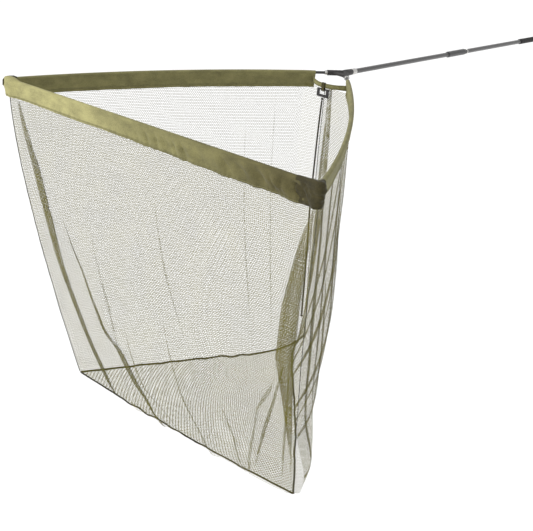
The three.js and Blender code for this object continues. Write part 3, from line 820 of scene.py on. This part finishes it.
def hem_ring(depth, head, tail):
    """A fabric sleeve's section as (across, up) pairs: up one wall, round the rod, and down the other."""
    ring = []
    for i in range(WALL_STEPS):
        t = i / WALL_STEPS
        half = mix(tail, head * 0.93, smooth(0.12, 0.95, t) ** 1.3)
        ring.append((-half, mix(-depth, -head * 0.35, t)))
    for i in range(ROUND_STEPS + 1):
        a = math.radians(200 - 220 * i / ROUND_STEPS)
        ring.append((head * math.cos(a), head * math.sin(a)))
    for across, up in ring[WALL_STEPS - 1::-1]:
        ring.append((-across, up))
    return ring


def girth(ring):
    """The distance round a section."""
    return sum(math.dist(a, b) for a, b in zip(ring, ring[1:])) + math.dist(ring[-1], ring[0])


def tube_of_cloth(name, stations, crumple):
    """A closed cloth tube through (centre, outward, ring, distance) stations; crumple gives each point its wrinkle."""
    rows = []
    for centre, out, ring, s in stations:
        row = []
        for across, up in ring:
            push, lift = crumple(s, across, up)
            row.append(centre + out * (across + push) + Vector((0, 0, up + lift)))
        rows.append(row)
    return outwards(grid_piece(name, rows, wrap=True))


def front_depth(y):
    """How deep the front hem hangs: a little more towards the right tip."""
    return mix(0.042, 0.059, smooth(-0.45, 0.42, y))


class NET_OT_sleeves(bpy.types.Operator):
    """The fabric sleeves on the two arms, and the pockets over their tips"""
    bl_idname = "net.sleeves"
    bl_label = "Sleeves"

    def execute(self, context):
        settings = context.scene.net_cloth
        for side, word in ((-1, "left"), (1, "right")):
            self.sleeve(settings, side, word)
            self.pocket(settings, side, word)
        return {"FINISHED"}

    def sleeve(self, settings, side, word):
        depth = settings.sleeve_depth
        stations = []
        count = 270
        for i in range(count + 1):
            s = mix(SLEEVE_START, SLEEVE_END + 0.004, i / count)
            ahead = arm_heading(s, side)
            out = Vector((-side * ahead.y, side * ahead.x, 0))
            start = smooth(0, 0.03, s - SLEEVE_START)
            here = depth + 0.0012 * sway(s * 16, seed=3 + side) + 0.0008 * sway(s * 55, seed=9 + side)
            stations.append((BLOCK + arm_point(s, side), out,
                             hem_ring(here, mix(0.0062, 0.0066, start), 0.0016), s))
        ring = stations[0][2]

        def crumple(s, across, up):
            low = smooth(0, depth, -up)
            middle = math.sin(math.pi * min(low, 1))
            slack = 0.0022 * sway(s * 11, up * 28, seed=side) + 0.0011 * sway(s * 42 + up * 60, up * 35, seed=5)
            pucker = 0.0007 * math.sin(2 * math.pi * s / 0.014 + 3 * sway(s * 20, seed=2)) * smooth(0.7, 1, low)
            wall = 1 if across > 0 else -1
            return slack * middle + pucker + 0.0009 * middle * wall * sway(s * 30, up * 50, seed=14), 0

        piece = tube_of_cloth(f"sleeve_{word}_cloth", stations, crumple)
        length = SLEEVE_END - SLEEVE_START
        around = girth(ring)
        dress(piece, cloth_finish(f"sleeve cloth {word}", settings.olive, (around, length),
                                  (SEAM_EDGE, around - SEAM_EDGE)))
        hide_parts(f"sleeve_{word}")
        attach(piece, f"arm_{word}")

    def pocket(self, settings, side, word):
        """The reinforced pocket over an arm's tip. The left one closes past the tip, and the right one turns the
        corner along the hem."""
        stations = []
        count = 60
        past_tip = 0.0085
        start, end = SLEEVE_END - 0.004, ARM_LENGTH + past_tip
        if side < 0:
            path = [arm_point(mix(start, ARM_LENGTH, i / count), side) for i in range(count + 1)]
        else:
            turned = [arm_point(start, side), arm_point(mix(start, ARM_LENGTH, 0.55), side),
                      arm_point(ARM_LENGTH, side) + Vector((0.001, 0.001, 0)),
                      Vector((FRONT_X + 0.002, FRONT_HALF - 0.012, 0)), Vector((FRONT_X, FRONT_HALF - 0.045, 0))]
            path = spline(turned, count // (len(turned) - 1))
        for i in range(count + 1):
            t = i / count
            ahead = (path[min(i + 1, count)] - path[max(i - 1, 0)]).normalized()
            out = Vector((-side * ahead.y, side * ahead.x, 0))
            centre = BLOCK + path[i]
            reach = mix(start, end, t)
            if side < 0:
                centre += ahead * (past_tip * smooth(0.8, 1, t))
                closing = math.sqrt(max(1 - smooth(0.72, 1.0, t) ** 2, 0.0004))
                ring = hem_ring(mix(0.050, 0.013, smooth(0.3, 1.05, t)),
                                mix(0.0082, 0.0112, smooth(0, 0.3, t)) * closing, 0.0022 * closing)
            else:
                reach *= 1 + 0.06 * t
                bulge = math.sin(math.pi * smooth(0.05, 0.95, t))
                hem_depth = mix(0.048, front_depth(0.47) - 0.004, smooth(0.2, 0.6, t))
                ring = hem_ring(hem_depth + 0.002 * sway(t * 9, seed=6),
                                mix(0.0080, 0.0135, bulge), mix(0.0030, 0.0110, bulge))
            stations.append((centre, out, ring, reach))

        def crumple(s, across, up):
            low = smooth(0, 0.02, -up)
            lumps = 0.0065 * max(side, 0) * sway(s * 95, up * 90, seed=8) * (1 if across * side > 0 else 0.3)
            fold = 0.0012 * sway(s * 70, up * 60, seed=20 + side) * low
            return fold + lumps * smooth(0, 0.008, -up), 0.0008 * sway(s * 90, across * 90, seed=31)

        piece = tube_of_cloth(f"tip_pocket_{word}_cloth", stations, crumple)
        around = girth(stations[12][2])
        length = sum((b[0] - a[0]).length for a, b in zip(stations, stations[1:]))
        dress(piece, cloth_finish(f"pocket cloth {word}", settings.dark, (around, length),
                                  (0.005, around - 0.005), 0.3, 1.15))
        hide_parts(f"tip_pocket_{word}")
        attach(piece, f"arm_{word}")


class NET_OT_front_hem(bpy.types.Operator):
    """The fabric hem round the front cord, in two halves that meet at the middle"""
    bl_idname = "net.front_hem"
    bl_label = "Front hem"

    def execute(self, context):
        settings = context.scene.net_cloth
        for side, word in ((-1, "left"), (1, "right")):
            stations = []
            count = 190
            end = FRONT_HALF + (0.026 if side < 0 else 0.001)
            wide = 1 if side < 0 else 0  # the left end opens round the cord's eye
            for i in range(count + 1):
                run = end * i / count
                cut = mix(0.08, 0.016, smooth(end - 0.030, end, run)) if side < 0 else 0.08
                y = side * run
                opening = wide * smooth(0.478, 0.506, run)
                closing = mix(1, 0.75, smooth(end - 0.012, end, run))
                ring = hem_ring(front_depth(y) + 0.0014 * sway(y * 14, seed=40) + 0.0009 * sway(y * 50, seed=41),
                                mix(0.0066, 0.0135, opening) * closing, mix(0.0018, 0.0048, opening))
                ring = [(across, max(up, -cut)) for across, up in ring]
                shift = mix(0, 0.0025, wide * smooth(0.47, 0.506, run))
                stations.append((BLOCK + Vector((FRONT_X + shift, y, 0)), Vector((1, 0, 0)), ring, y))

            def crumple(s, across, up):
                low = smooth(0, front_depth(s), -up)
                middle = math.sin(math.pi * min(low, 1))
                busy = smooth(-0.08, 0.03, s)
                wild = smooth(0.26, 0.42, s)
                slack = 0.0024 * sway(s * 9, up * 20, seed=50)
                creases = 0.0120 * busy * (abs(sway(s * 30 + up * 16, up * 7, seed=52)) * 2 - 0.5)
                folds = 0.024 * wild * sway(s * 17 + up * 26, up * 22, seed=57)
                pucker = 0.0007 * math.sin(2 * math.pi * s / 0.016 + 3 * sway(s * 18, seed=55)) * smooth(0.7, 1, low)
                lean = 0.006 * smooth(0.05, 1, low) * smooth(0.1, -0.3, s)
                front = 1 if across > 0 else 0.4
                wrinkles = slack * middle + (creases + folds) * front * max(middle, 0.35 * low)
                return wrinkles + pucker + lean, 0.0012 * wild * sway(s * 20, seed=58) * low

            piece = tube_of_cloth(f"front_hem_{word}_cloth", stations, crumple)
            around, length = girth(stations[count // 2][2]), end
            # Painted light on the left half towards its outer end, and painted shade on the right half towards its
            # outer end, multiplied into the cloth's colour.
            painted_light_and_shade = (0.0, 0.30, (*settings.front_painted_light, 1)) if side < 0 else (0.0, 0.46, (*settings.front_shade, 1))
            dress(piece, cloth_finish(f"front hem cloth {word}", settings.olive, (around, length),
                                      (SEAM_EDGE, around - SEAM_EDGE), painted_lighting=painted_light_and_shade))
            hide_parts("front_hem")
            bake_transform(piece)
        return {"FINISHED"}


class NET_OT_rear_strip(bpy.types.Operator):
    """The fabric strip that joins the sleeves below the block, and the tab that carries the ring"""
    bl_idname = "net.rear_strip"
    bl_label = "Rear strip and tab"

    def execute(self, context):
        settings = context.scene.net_cloth
        end = arm_point(SLEEVE_START + 0.004, 1)
        corner = Vector((2 * STRIP_X - end.x, 0, 0))
        for side, word in ((-1, "left"), (1, "right")):
            tip = Vector((end.x, side * end.y, 0))
            far = Vector((end.x, -side * end.y, 0))
            rows = []
            steps = 60
            for i in range(steps + 1):
                t = 0.5 + 0.5 * i / steps
                at = far * (1 - t) ** 2 + corner * 2 * t * (1 - t) + tip * t * t
                ahead = ((corner - far) * (1 - t) + (tip - corner) * t).normalized()
                out = Vector((-ahead.y, ahead.x, 0))
                row = []
                for a in range(16):
                    turn = 2 * math.pi * a / 16
                    across = 0.0012 * math.copysign(abs(math.cos(turn)) ** 0.5, math.cos(turn))
                    up = 0.0075 * math.copysign(abs(math.sin(turn)) ** 0.6, math.sin(turn))
                    flare = 1 + 0.12 * smooth(0.8, 1, t)
                    wave = 0.0012 * sway(t * 12, up * 60, seed=70) * smooth(0.5, 0.58, t)
                    row.append(BLOCK + at + out * (across + wave) + Vector((0, 0, -0.0205 + up * flare)))
                rows.append(row)
            piece = outwards(grid_piece(f"rear_strip_{word}_cloth", rows, wrap=True, caps=True))
            length = sum((rows[k + 1][0] - rows[k][0]).length for k in range(steps))
            dress(piece, cloth_finish(f"rear strip cloth {word}", settings.olive, (0.0345, length),
                                      (0.004, 0.0135, 0.0210, 0.0305)))
            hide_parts("rear_strip")
            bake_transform(piece)
        self.tab(settings)
        return {"FINISHED"}

    def tab(self, settings):
        """A webbing loop round the strip, with the ring's bar in its lower end."""
        top, bottom, half = -0.0122, -0.0372, 0.0037
        steps = 48
        loop = []
        for i in range(steps):
            turn = 2 * math.pi * i / steps
            x = half * math.copysign(abs(math.cos(turn)) ** 0.35, math.cos(turn))
            z = mix(bottom, top, 0.5 + 0.5 * math.copysign(abs(math.sin(turn)) ** 0.55, math.sin(turn)))
            loop.append(Vector((STRIP_X + x, 0, z)))
        centre = Vector((STRIP_X, 0, (top + bottom) / 2))
        rows = []
        section = ((-0.006, -0.0007), (-0.0054, 0.0007), (-0.003, 0.0009), (0, 0.0007), (0.003, 0.0009),
                   (0.0054, 0.0007), (0.006, -0.0007))
        for i in range(steps + 1):
            p = loop[i % steps]
            ahead = (loop[(i + 1) % steps] - loop[(i - 1) % steps]).normalized()
            out = ahead.cross(Vector((0, 1, 0)))
            if out.dot(p - centre) < 0:
                out = -out
            rows.append([BLOCK + p + Vector((0, y, 0)) + out * r for y, r in section])
        piece = outwards(grid_piece("ring_tab_webbing", rows, wrap=True))
        dress(piece, cloth_finish("tab webbing", settings.dark, (0.0175, 0.075), (0.0038, 0.0138), 0.6, 1.7))
        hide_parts("ring_tab")
        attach(piece, "head")


# --- the bag ---
# How late each corner of the bag swings from its top towards its foot
FALL = {"left": 1.3, "right": 2.4, "rear": 2.0}


def hang(top, foot, v, fall):
    """A point at the share v of the way down. fall over 1 keeps the upper part near the top's own place."""
    swing = v ** fall
    return Vector((mix(top.x, foot.x, swing), mix(top.y, foot.y, swing), mix(top.z, foot.z, v)))


def seam_point(a, b, t):
    """A bottom seam. The two from the rear corner start close together, where that corner is drawn up into a tail."""
    at = a.lerp(b, t)
    at.z -= 0.012 * math.sin(math.pi * t)
    if a is BASE_REAR:
        drawn = t / 0.16 * math.exp(1 - t / 0.16)
        at += (Vector((0, 0, -0.034)) if b is BASE_LEFT else Vector((0.020, -0.030, 0))) * drawn
    return at


def side_top(side, u):
    """The upper edge of a side panel: from the rear corner to the sleeve, and along it to the tip."""
    joined = 0.08
    start, end = 0.128, ARM_LENGTH - 0.014
    if u < joined:
        to = arm_point(start, side)
        to.z = -0.030
        return REAR_TOP.lerp(to, smooth(0, 1, u / joined) * 0.4 + 0.6 * u / joined)
    at = arm_point(mix(start, end, (u - joined) / (1 - joined)), side)
    at.z = mix(-0.030, -0.043, smooth(joined, joined + 0.02, u))
    return at


def front_top(u):
    """The upper edge of the front panel, inside the hem, from the left tip to the right."""
    at = side_top(-1, 1).lerp(side_top(1, 1), u)
    at.z = mix(-0.045, -0.003 - front_depth(at.y) + 0.008, math.sin(math.pi * u) ** 0.3)
    return at


BAG_CORNERS = {"left": side_top(-1, 1), "right": side_top(1, 1), "rear": REAR_TOP}


def along(stops, v):
    """The value at v of a list of (v, value) stops, with soft corners."""
    for (v0, a), (v1, b) in zip(stops, stops[1:]):
        if v <= v1:
            return mix(a, b, smooth(v0, v1, v) if len(stops) == 2 else max(v - v0, 0) / (v1 - v0))
    return stops[-1][1]


class Fold:
    """A fold in a panel. Its stops are (v, u, width): where its middle is at each height, and how wide it is there.
    It stands out by depth times its width. Where back is over 1 the cloth doubles back on itself, and pleats is how
    tightly: 1 is a single tuck, and 4 several small ones side by side."""

    def __init__(self, *stops, depth=0.5, back=2.0, pleats=4.0):
        self.middles = [(v, u) for v, u, _ in stops]
        self.widths = [(v, width) for v, _, width in stops]
        self.depth, self.back, self.pleats = depth, back, pleats

    def at(self, v):
        if not self.middles[0][0] <= v <= self.middles[-1][0] + 1e-9:
            return None
        width = along(self.widths, v)
        return (along(self.middles, v), width) if width > 1e-5 else None


FOLDS = {
    "front": [
        Fold((0.02, 0.034, 0.002), (0.12, 0.052, 0.0044), (0.23, 0.075, 0.0066), (0.41, 0.094, 0.0078),
             (0.54, 0.107, 0.0072), (0.70, 0.142, 0.0062), (0.90, 0.170, 0.0060), (1.0, 0.18, 0.003),
             back=2.8, pleats=9.0),
        Fold((0.36, 0.160, 0.0), (0.46, 0.19, 0.0018), (0.64, 0.258, 0.0036), (0.76, 0.338, 0.0068),
             (0.88, 0.372, 0.0066), (1.0, 0.43, 0.003), back=2.8, pleats=9.0),
        Fold((0.62, 0.386, 0.0), (0.72, 0.393, 0.0020), (0.82, 0.405, 0.0030), (0.93, 0.47, 0.003),
             (1.0, 0.51, 0.001)),
        Fold((0.52, 0.55, 0.0), (0.66, 0.570, 0.0020), (0.80, 0.592, 0.0028), (0.94, 0.635, 0.003),
             (1.0, 0.66, 0.001)),
        Fold((0.73, 0.74, 0.0), (0.80, 0.762, 0.0026), (0.86, 0.785, 0.0030), (0.96, 0.790, 0.003),
             (1.0, 0.80, 0.001)),
        Fold((0.58, 0.925, 0.0), (0.64, 0.905, 0.005), (0.71, 0.872, 0.003), (0.80, 0.860, 0.0030),
             (0.95, 0.832, 0.004), (1.0, 0.82, 0.001)),
        Fold((0.0, 0.992, 0.001), (0.12, 0.976, 0.006), (0.32, 0.960, 0.011), (0.50, 0.956, 0.012),
             (0.68, 0.972, 0.006), (0.84, 0.988, 0.002), (1.0, 0.992, 0.0), depth=0.7, back=2.6, pleats=8.0),
        Fold((0.1, 0.47, 0.0), (0.5, 0.45, 0.07), (1.0, 0.42, 0.05), depth=0.16, back=0.0),
        Fold((0.1, 0.73, 0.0), (0.5, 0.68, 0.06), (1.0, 0.66, 0.05), depth=0.2, back=0.0),
        Fold((0.2, 0.27, 0.0), (0.6, 0.30, 0.05), (1.0, 0.30, 0.05), depth=0.16, back=0.0),
    ],
    "right": [
        Fold((0.0, 0.020, 0.003), (0.3, 0.024, 0.006), (0.8, 0.04, 0.007), (1.0, 0.05, 0.004), back=2.6, pleats=7.0),
        Fold((0.10, 0.160, 0.0), (0.35, 0.135, 0.005), (0.7, 0.115, 0.006), (1.0, 0.11, 0.004), back=2.4, pleats=8.0),
        Fold((0.0, 0.290, 0.003), (0.3, 0.250, 0.006), (0.6, 0.225, 0.004), (1.0, 0.20, 0.004), back=2.4, pleats=8.0),
        Fold((0.25, 0.40, 0.0), (0.5, 0.345, 0.009), (0.8, 0.31, 0.008), (1.0, 0.28, 0.004), back=2.4, pleats=8.0),
        Fold((0.0, 0.500, 0.004), (0.2, 0.475, 0.006), (0.55, 0.420, 0.005), (0.85, 0.38, 0.0), back=2.4, pleats=8.0),
        Fold((0.08, 0.600, 0.0), (0.4, 0.550, 0.008), (0.75, 0.51, 0.009), (1.0, 0.48, 0.005), back=2.4, pleats=8.0),
        Fold((0.0, 0.690, 0.004), (0.3, 0.665, 0.007), (0.7, 0.60, 0.005), (1.0, 0.56, 0.003), back=2.4, pleats=8.0),
        Fold((0.3, 0.780, 0.0), (0.5, 0.755, 0.006), (0.8, 0.70, 0.009), (1.0, 0.66, 0.005), back=2.4, pleats=8.0),
        Fold((0.0, 0.850, 0.004), (0.3, 0.835, 0.006), (0.6, 0.83, 0.004), (0.9, 0.80, 0.0), back=2.4, pleats=8.0),
        Fold((0.0, 0.955, 0.004), (0.35, 0.935, 0.008), (0.7, 0.91, 0.006), (1.0, 0.88, 0.004), back=2.4, pleats=8.0),
    ],
    "left": [
        Fold((0.0, 0.17, 0.0), (0.2, 0.165, 0.0016), (0.8, 0.15, 0.003), (1.0, 0.15, 0.0), pleats=2.0),
        Fold((0.1, 0.26, 0.0), (0.3, 0.255, 0.0016), (0.8, 0.24, 0.003), (1.0, 0.24, 0.0), pleats=2.0),
        Fold((0.4, 0.56, 0.0), (0.7, 0.55, 0.003), (1.0, 0.52, 0.0)),
        Fold((0.5, 0.80, 0.0), (0.8, 0.80, 0.004), (1.0, 0.82, 0.0)),
    ],
    "base": [
        Fold((0.1, 0.80, 0.0), (0.3, 0.78, 0.012), (0.7, 0.80, 0.008), (1.0, 0.83, 0.0)),
        Fold((0.1, 0.93, 0.0), (0.3, 0.92, 0.010), (0.7, 0.93, 0.006), (1.0, 0.95, 0.0)),
    ],
}


# How far each panel bags out towards the lowest corner
POUCH = {"left": 0.0, "front": 0.012, "right": 0.038}
# How much the strands bunch up in each panel
BUNCHING = {"left": 0.48, "front": 0.95, "right": 1.6, "base": 1.7}


FINE_STEPS = 450  # steps in each half of a row, to add up how closely its points lie
NARROW = 0.002  # keeps a fold that narrows to nothing from drawing all the points


def crowding(u, here):
    """How much more closely the points of a row lie at u, next to the folds here."""
    return sum(0.055 / (width + NARROW) * math.exp(-((u - middle) / (2.2 * width + NARROW)) ** 2)
               for middle, width in here if abs(u - middle) < 6 * width + 3 * NARROW)


def spread(folds, v, count):
    """Shares across a row of the cloth, closer together where it folds, with one of them at the middle."""
    fine = FINE_STEPS
    here = [f.at(v) or (along(f.middles, v), 1e-3) for f in folds if f.back > 1]
    shares = [0.0]
    for low in (0, fine):
        sums = [0.0]
        for k in range(low, low + fine):
            sums.append(sums[-1] + 1 + crowding((k + 0.5) / fine / 2, here))
        k = 0
        for i in range(1, count // 2 + 1):
            goal = sums[-1] * i / (count // 2)
            while k < fine - 1 and sums[k + 1] < goal:
                k += 1
            shares.append((low + k + (goal - sums[k]) / (sums[k + 1] - sums[k])) / fine / 2)
    return shares


def folded(folds, u, v, size):
    """Where the folds put a point of the cloth: across the panel, and how far out of it. size is the panel's width."""
    across, proud = u, 0.0
    for fold in folds:
        here = fold.at(v)
        if here is None:
            continue
        middle, width = here
        x = (u - middle) / width
        if abs(x) < 3.2:
            bell = math.exp(-x * x)
            across -= fold.back * math.sin(fold.pleats * x) * bell * width
            proud += fold.depth * bell * width * size * (1 + 0.4 * math.cos(fold.pleats * x))
    return across, proud


class NET_OT_bag(bpy.types.Operator):
    """The netting of the bag: two sides, the front and the bottom"""
    bl_idname = "net.bag"
    bl_label = "Netting"

    def execute(self, context):
        settings = context.scene.net_bag
        left = Vector((-0.55, -0.83, 0)).normalized()
        right = Vector((-0.55, 0.83, 0)).normalized()
        self.panel(settings, "left", lambda u: side_top(-1, u), lambda u: seam_point(BASE_REAR, BASE_LEFT, u),
                   (FALL["rear"], FALL["left"]), 0.6, 0.010, left)
        self.panel(settings, "right", lambda u: side_top(1, u), lambda u: seam_point(BASE_REAR, BASE_RIGHT, u),
                   (FALL["rear"], FALL["right"]), 0.1, 0.028, right)
        self.panel(settings, "front", front_top, lambda u: seam_point(BASE_LEFT, BASE_RIGHT, u),
                   (FALL["left"], FALL["right"]), 0.3, 0.030, Vector((1, 0, 0)))
        self.base(settings)
        return {"FINISHED"}

    def sheet(self, settings, name, rows, drop, half=""):
        runs, widths = [], []
        for row in rows:
            run = [0.0]
            for a, b in zip(row, row[1:]):
                run.append(run[-1] + (b - a).length)
            widths.append(run[-1])
            runs.append([r / run[-1] for r in run])
        placed = [[BLOCK + p for p in row] for row in rows]
        piece = grid_piece(f"net_{name}{half and '_' + half}", placed, cloth=runs)
        size = (sum(widths) / len(widths), drop)
        dress(piece, net_finish(f"netting {name} {half}".strip(), settings.thread_color, size,
                                settings.pitch, settings.thread * BUNCHING[name]))
        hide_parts(f"panel_{name}")
        return piece

    def panel(self, settings, name, top, foot, falls, extra, belly, out):
        """A panel between its top and foot lines. extra makes its middle fall later, belly is how far it blows out,
        and out is the way that it faces."""
        count = settings.rows
        folds = FOLDS[name]
        size = (top(1) - top(0)).length
        rows = []
        for j in range(count + 1):
            v = j / count
            calm = smooth(0, 0.15, v) * smooth(1.0, 0.93, v)
            row = []
            for u in spread(folds, v, settings.columns):
                edge = min(1.0, 50 * u, 50 * (1 - u))
                across, proud = folded(folds, u, v, size)
                ripple = 0.0040 * sway(u * 13, v * 2.0, seed=80 + len(name)) + 0.0016 * sway(u * 36, v * 5, seed=90)
                gather = 0.0030 * sway(u * 60, v * 3, seed=95) * (smooth(0.12, 0.0, v) + smooth(0.85, 1.0, v))
                pouch = POUCH[name] * math.exp(-((u - 0.88) / 0.16) ** 2 - ((v - 0.93) / 0.12) ** 2)
                here = min(max(mix(u, across, edge), 0), 1)
                middle = math.sin(math.pi * here)
                at = hang(top(here), foot(here), v, mix(falls[0], falls[1], here) + extra * middle)
                stand = belly * middle * math.sin(math.pi * v * v) + (proud + ripple * calm + gather * calm) * edge
                row.append(at + out * (stand + pouch * edge) - Vector((0, 0, 0.4 * pouch * edge)))
            rows.append(row)
        middle = settings.columns // 2
        drop = sum((rows[j + 1][middle] - rows[j][middle]).length for j in range(count))
        if name == "front":
            for side, word in ((-1, "left"), (1, "right")):
                half = [row[:middle + 1] if side < 0 else row[middle:] for row in rows]
                piece = self.sheet(settings, "front", half, drop, word)
                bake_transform(piece)
            return
        piece = self.sheet(settings, name, rows, drop)
        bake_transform(piece)

    def base(self, settings):
        """The bottom panel, from close to the rear corner to the front seam."""
        columns, count = 150, 80
        rows = []
        for j in range(count + 1):
            depth = 0.012 + 0.988 * j / count
            a, b = seam_point(BASE_REAR, BASE_LEFT, depth), seam_point(BASE_REAR, BASE_RIGHT, depth)
            row = []
            for u in spread(FOLDS["base"], depth, columns):
                edge = min(1.0, 30 * u, 30 * (1 - u)) * smooth(1.0, 0.93, depth)
                across, proud = folded(FOLDS["base"], u, depth, 0.7)
                proud += 0.005 * sway(u * 6, depth * 5, seed=101)
                here = min(max(mix(u, across, edge), 0), 1)
                belly = 0.024 * math.sin(math.pi * here) * math.sin(math.pi * depth)
                front_sag = 0.012 * math.sin(math.pi * here) * smooth(0.8, 1.0, depth)
                row.append(a.lerp(b, here) - Vector((0, 0, belly + front_sag - proud * edge)))
            rows.append(row)
        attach(self.sheet(settings, "base", rows, 0.62), "head")


class NET_OT_seams(bpy.types.Operator):
    """The bound seams at the bag's corners and round its bottom"""
    bl_idname = "net.seams"
    bl_label = "Seams"

    def execute(self, context):
        color = context.scene.net_cloth.cord
        lines = {
            "base_seam_left": (lambda t: seam_point(BASE_REAR, BASE_LEFT, t), 0.0030, None),
            "base_seam_right": (lambda t: seam_point(BASE_REAR, BASE_RIGHT, t), 0.0030, None),
            "base_seam_front": (lambda t: seam_point(BASE_LEFT, BASE_RIGHT, t), 0.0024, None),
            "corner_seam_left": (lambda t: hang(BAG_CORNERS["left"], BASE_LEFT, t, FALL["left"]), 0.0011, "left"),
            "corner_seam_right": (lambda t: hang(BAG_CORNERS["right"], BASE_RIGHT, t, FALL["right"]), 0.0009, "right"),
            "corner_seam_rear": (lambda t: hang(REAR_TOP, BASE_REAR, t, FALL["rear"]), 0.0009, None),
        }
        for name, (at, radius, arm) in lines.items():
            points = []
            steps = 120
            loose = 0.0045 if name.startswith("base") else 0.0016
            for i in range(steps + 1):
                t = mix(0.004, 0.996, i / steps)
                wander = Vector((sway(t * 22, seed=110), sway(t * 22, seed=120), sway(t * 22, seed=130)))
                points.append(BLOCK + at(t) + wander * loose * math.sin(math.pi * t))
            length = sum((b - a).length for a, b in zip(points, points[1:]))
            piece = cord_piece(f"{name}_binding", points, radius, sides=8, bumps=0.12, bump_pitch=0.011)
            dress(piece, cord_finish(name.replace("_", " "), color, length, 2 * math.pi * radius))
            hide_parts(name)
            if arm:
                foot = BLOCK + at(1)
                tuple(foot + Vector((0, 0, at(0).z - at(1).z)))
                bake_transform(piece)
            else:
                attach(piece, "head")
        return {"FINISHED"}


class NET_PT_panel(bpy.types.Panel):
    """Lists the settings and the parts of the landing net"""
    bl_idname = "NET_PT_panel"
    bl_label = "Landing Net"
    bl_space_type = "VIEW_3D"
    bl_region_type = "UI"
    bl_category = "Landing Net"

    def draw(self, context):
        layout = self.layout
        scene = context.scene
        for group_name in ("net_stage", "net_handle", "net_cloth", "net_bag"):
            box = layout.box()
            settings = getattr(scene, group_name)
            for name in settings.bl_rna.properties.keys():
                if name not in {"rna_type", "name"}:
                    box.prop(settings, name)
        for operator in OPERATORS:
            layout.operator(operator.bl_idname)


OPERATORS = (NET_OT_stage, NET_OT_retainer, NET_OT_handle, NET_OT_spreader, NET_OT_sleeves,
             NET_OT_front_hem, NET_OT_rear_strip, NET_OT_bag, NET_OT_seams)
SETTINGS = {"net_stage": NetStageSettings, "net_handle": NetHandleSettings,
            "net_cloth": NetClothSettings, "net_bag": NetBagSettings}


def register():
    """Adds the classes and their settings to Blender."""
    for cls in (*SETTINGS.values(), *OPERATORS, NET_PT_panel):
        bpy.utils.register_class(cls)
    for name, cls in SETTINGS.items():
        setattr(bpy.types.Scene, name, PointerProperty(type=cls))


def unregister():
    """Takes them away again."""
    for name in SETTINGS:
        delattr(bpy.types.Scene, name)
    for cls in (NET_PT_panel, *reversed(OPERATORS), *reversed(SETTINGS.values())):
        bpy.utils.unregister_class(cls)


def main():
    """Makes every piece in order."""
    register()
    bpy.ops.net.stage()
    bpy.ops.net.retainer()
    bpy.ops.net.handle()
    bpy.ops.net.spreader()
    bpy.ops.net.sleeves()
    bpy.ops.net.front_hem()
    bpy.ops.net.rear_strip()
    bpy.ops.net.bag()
    bpy.ops.net.seams()


if __name__ == "__main__":
    main()
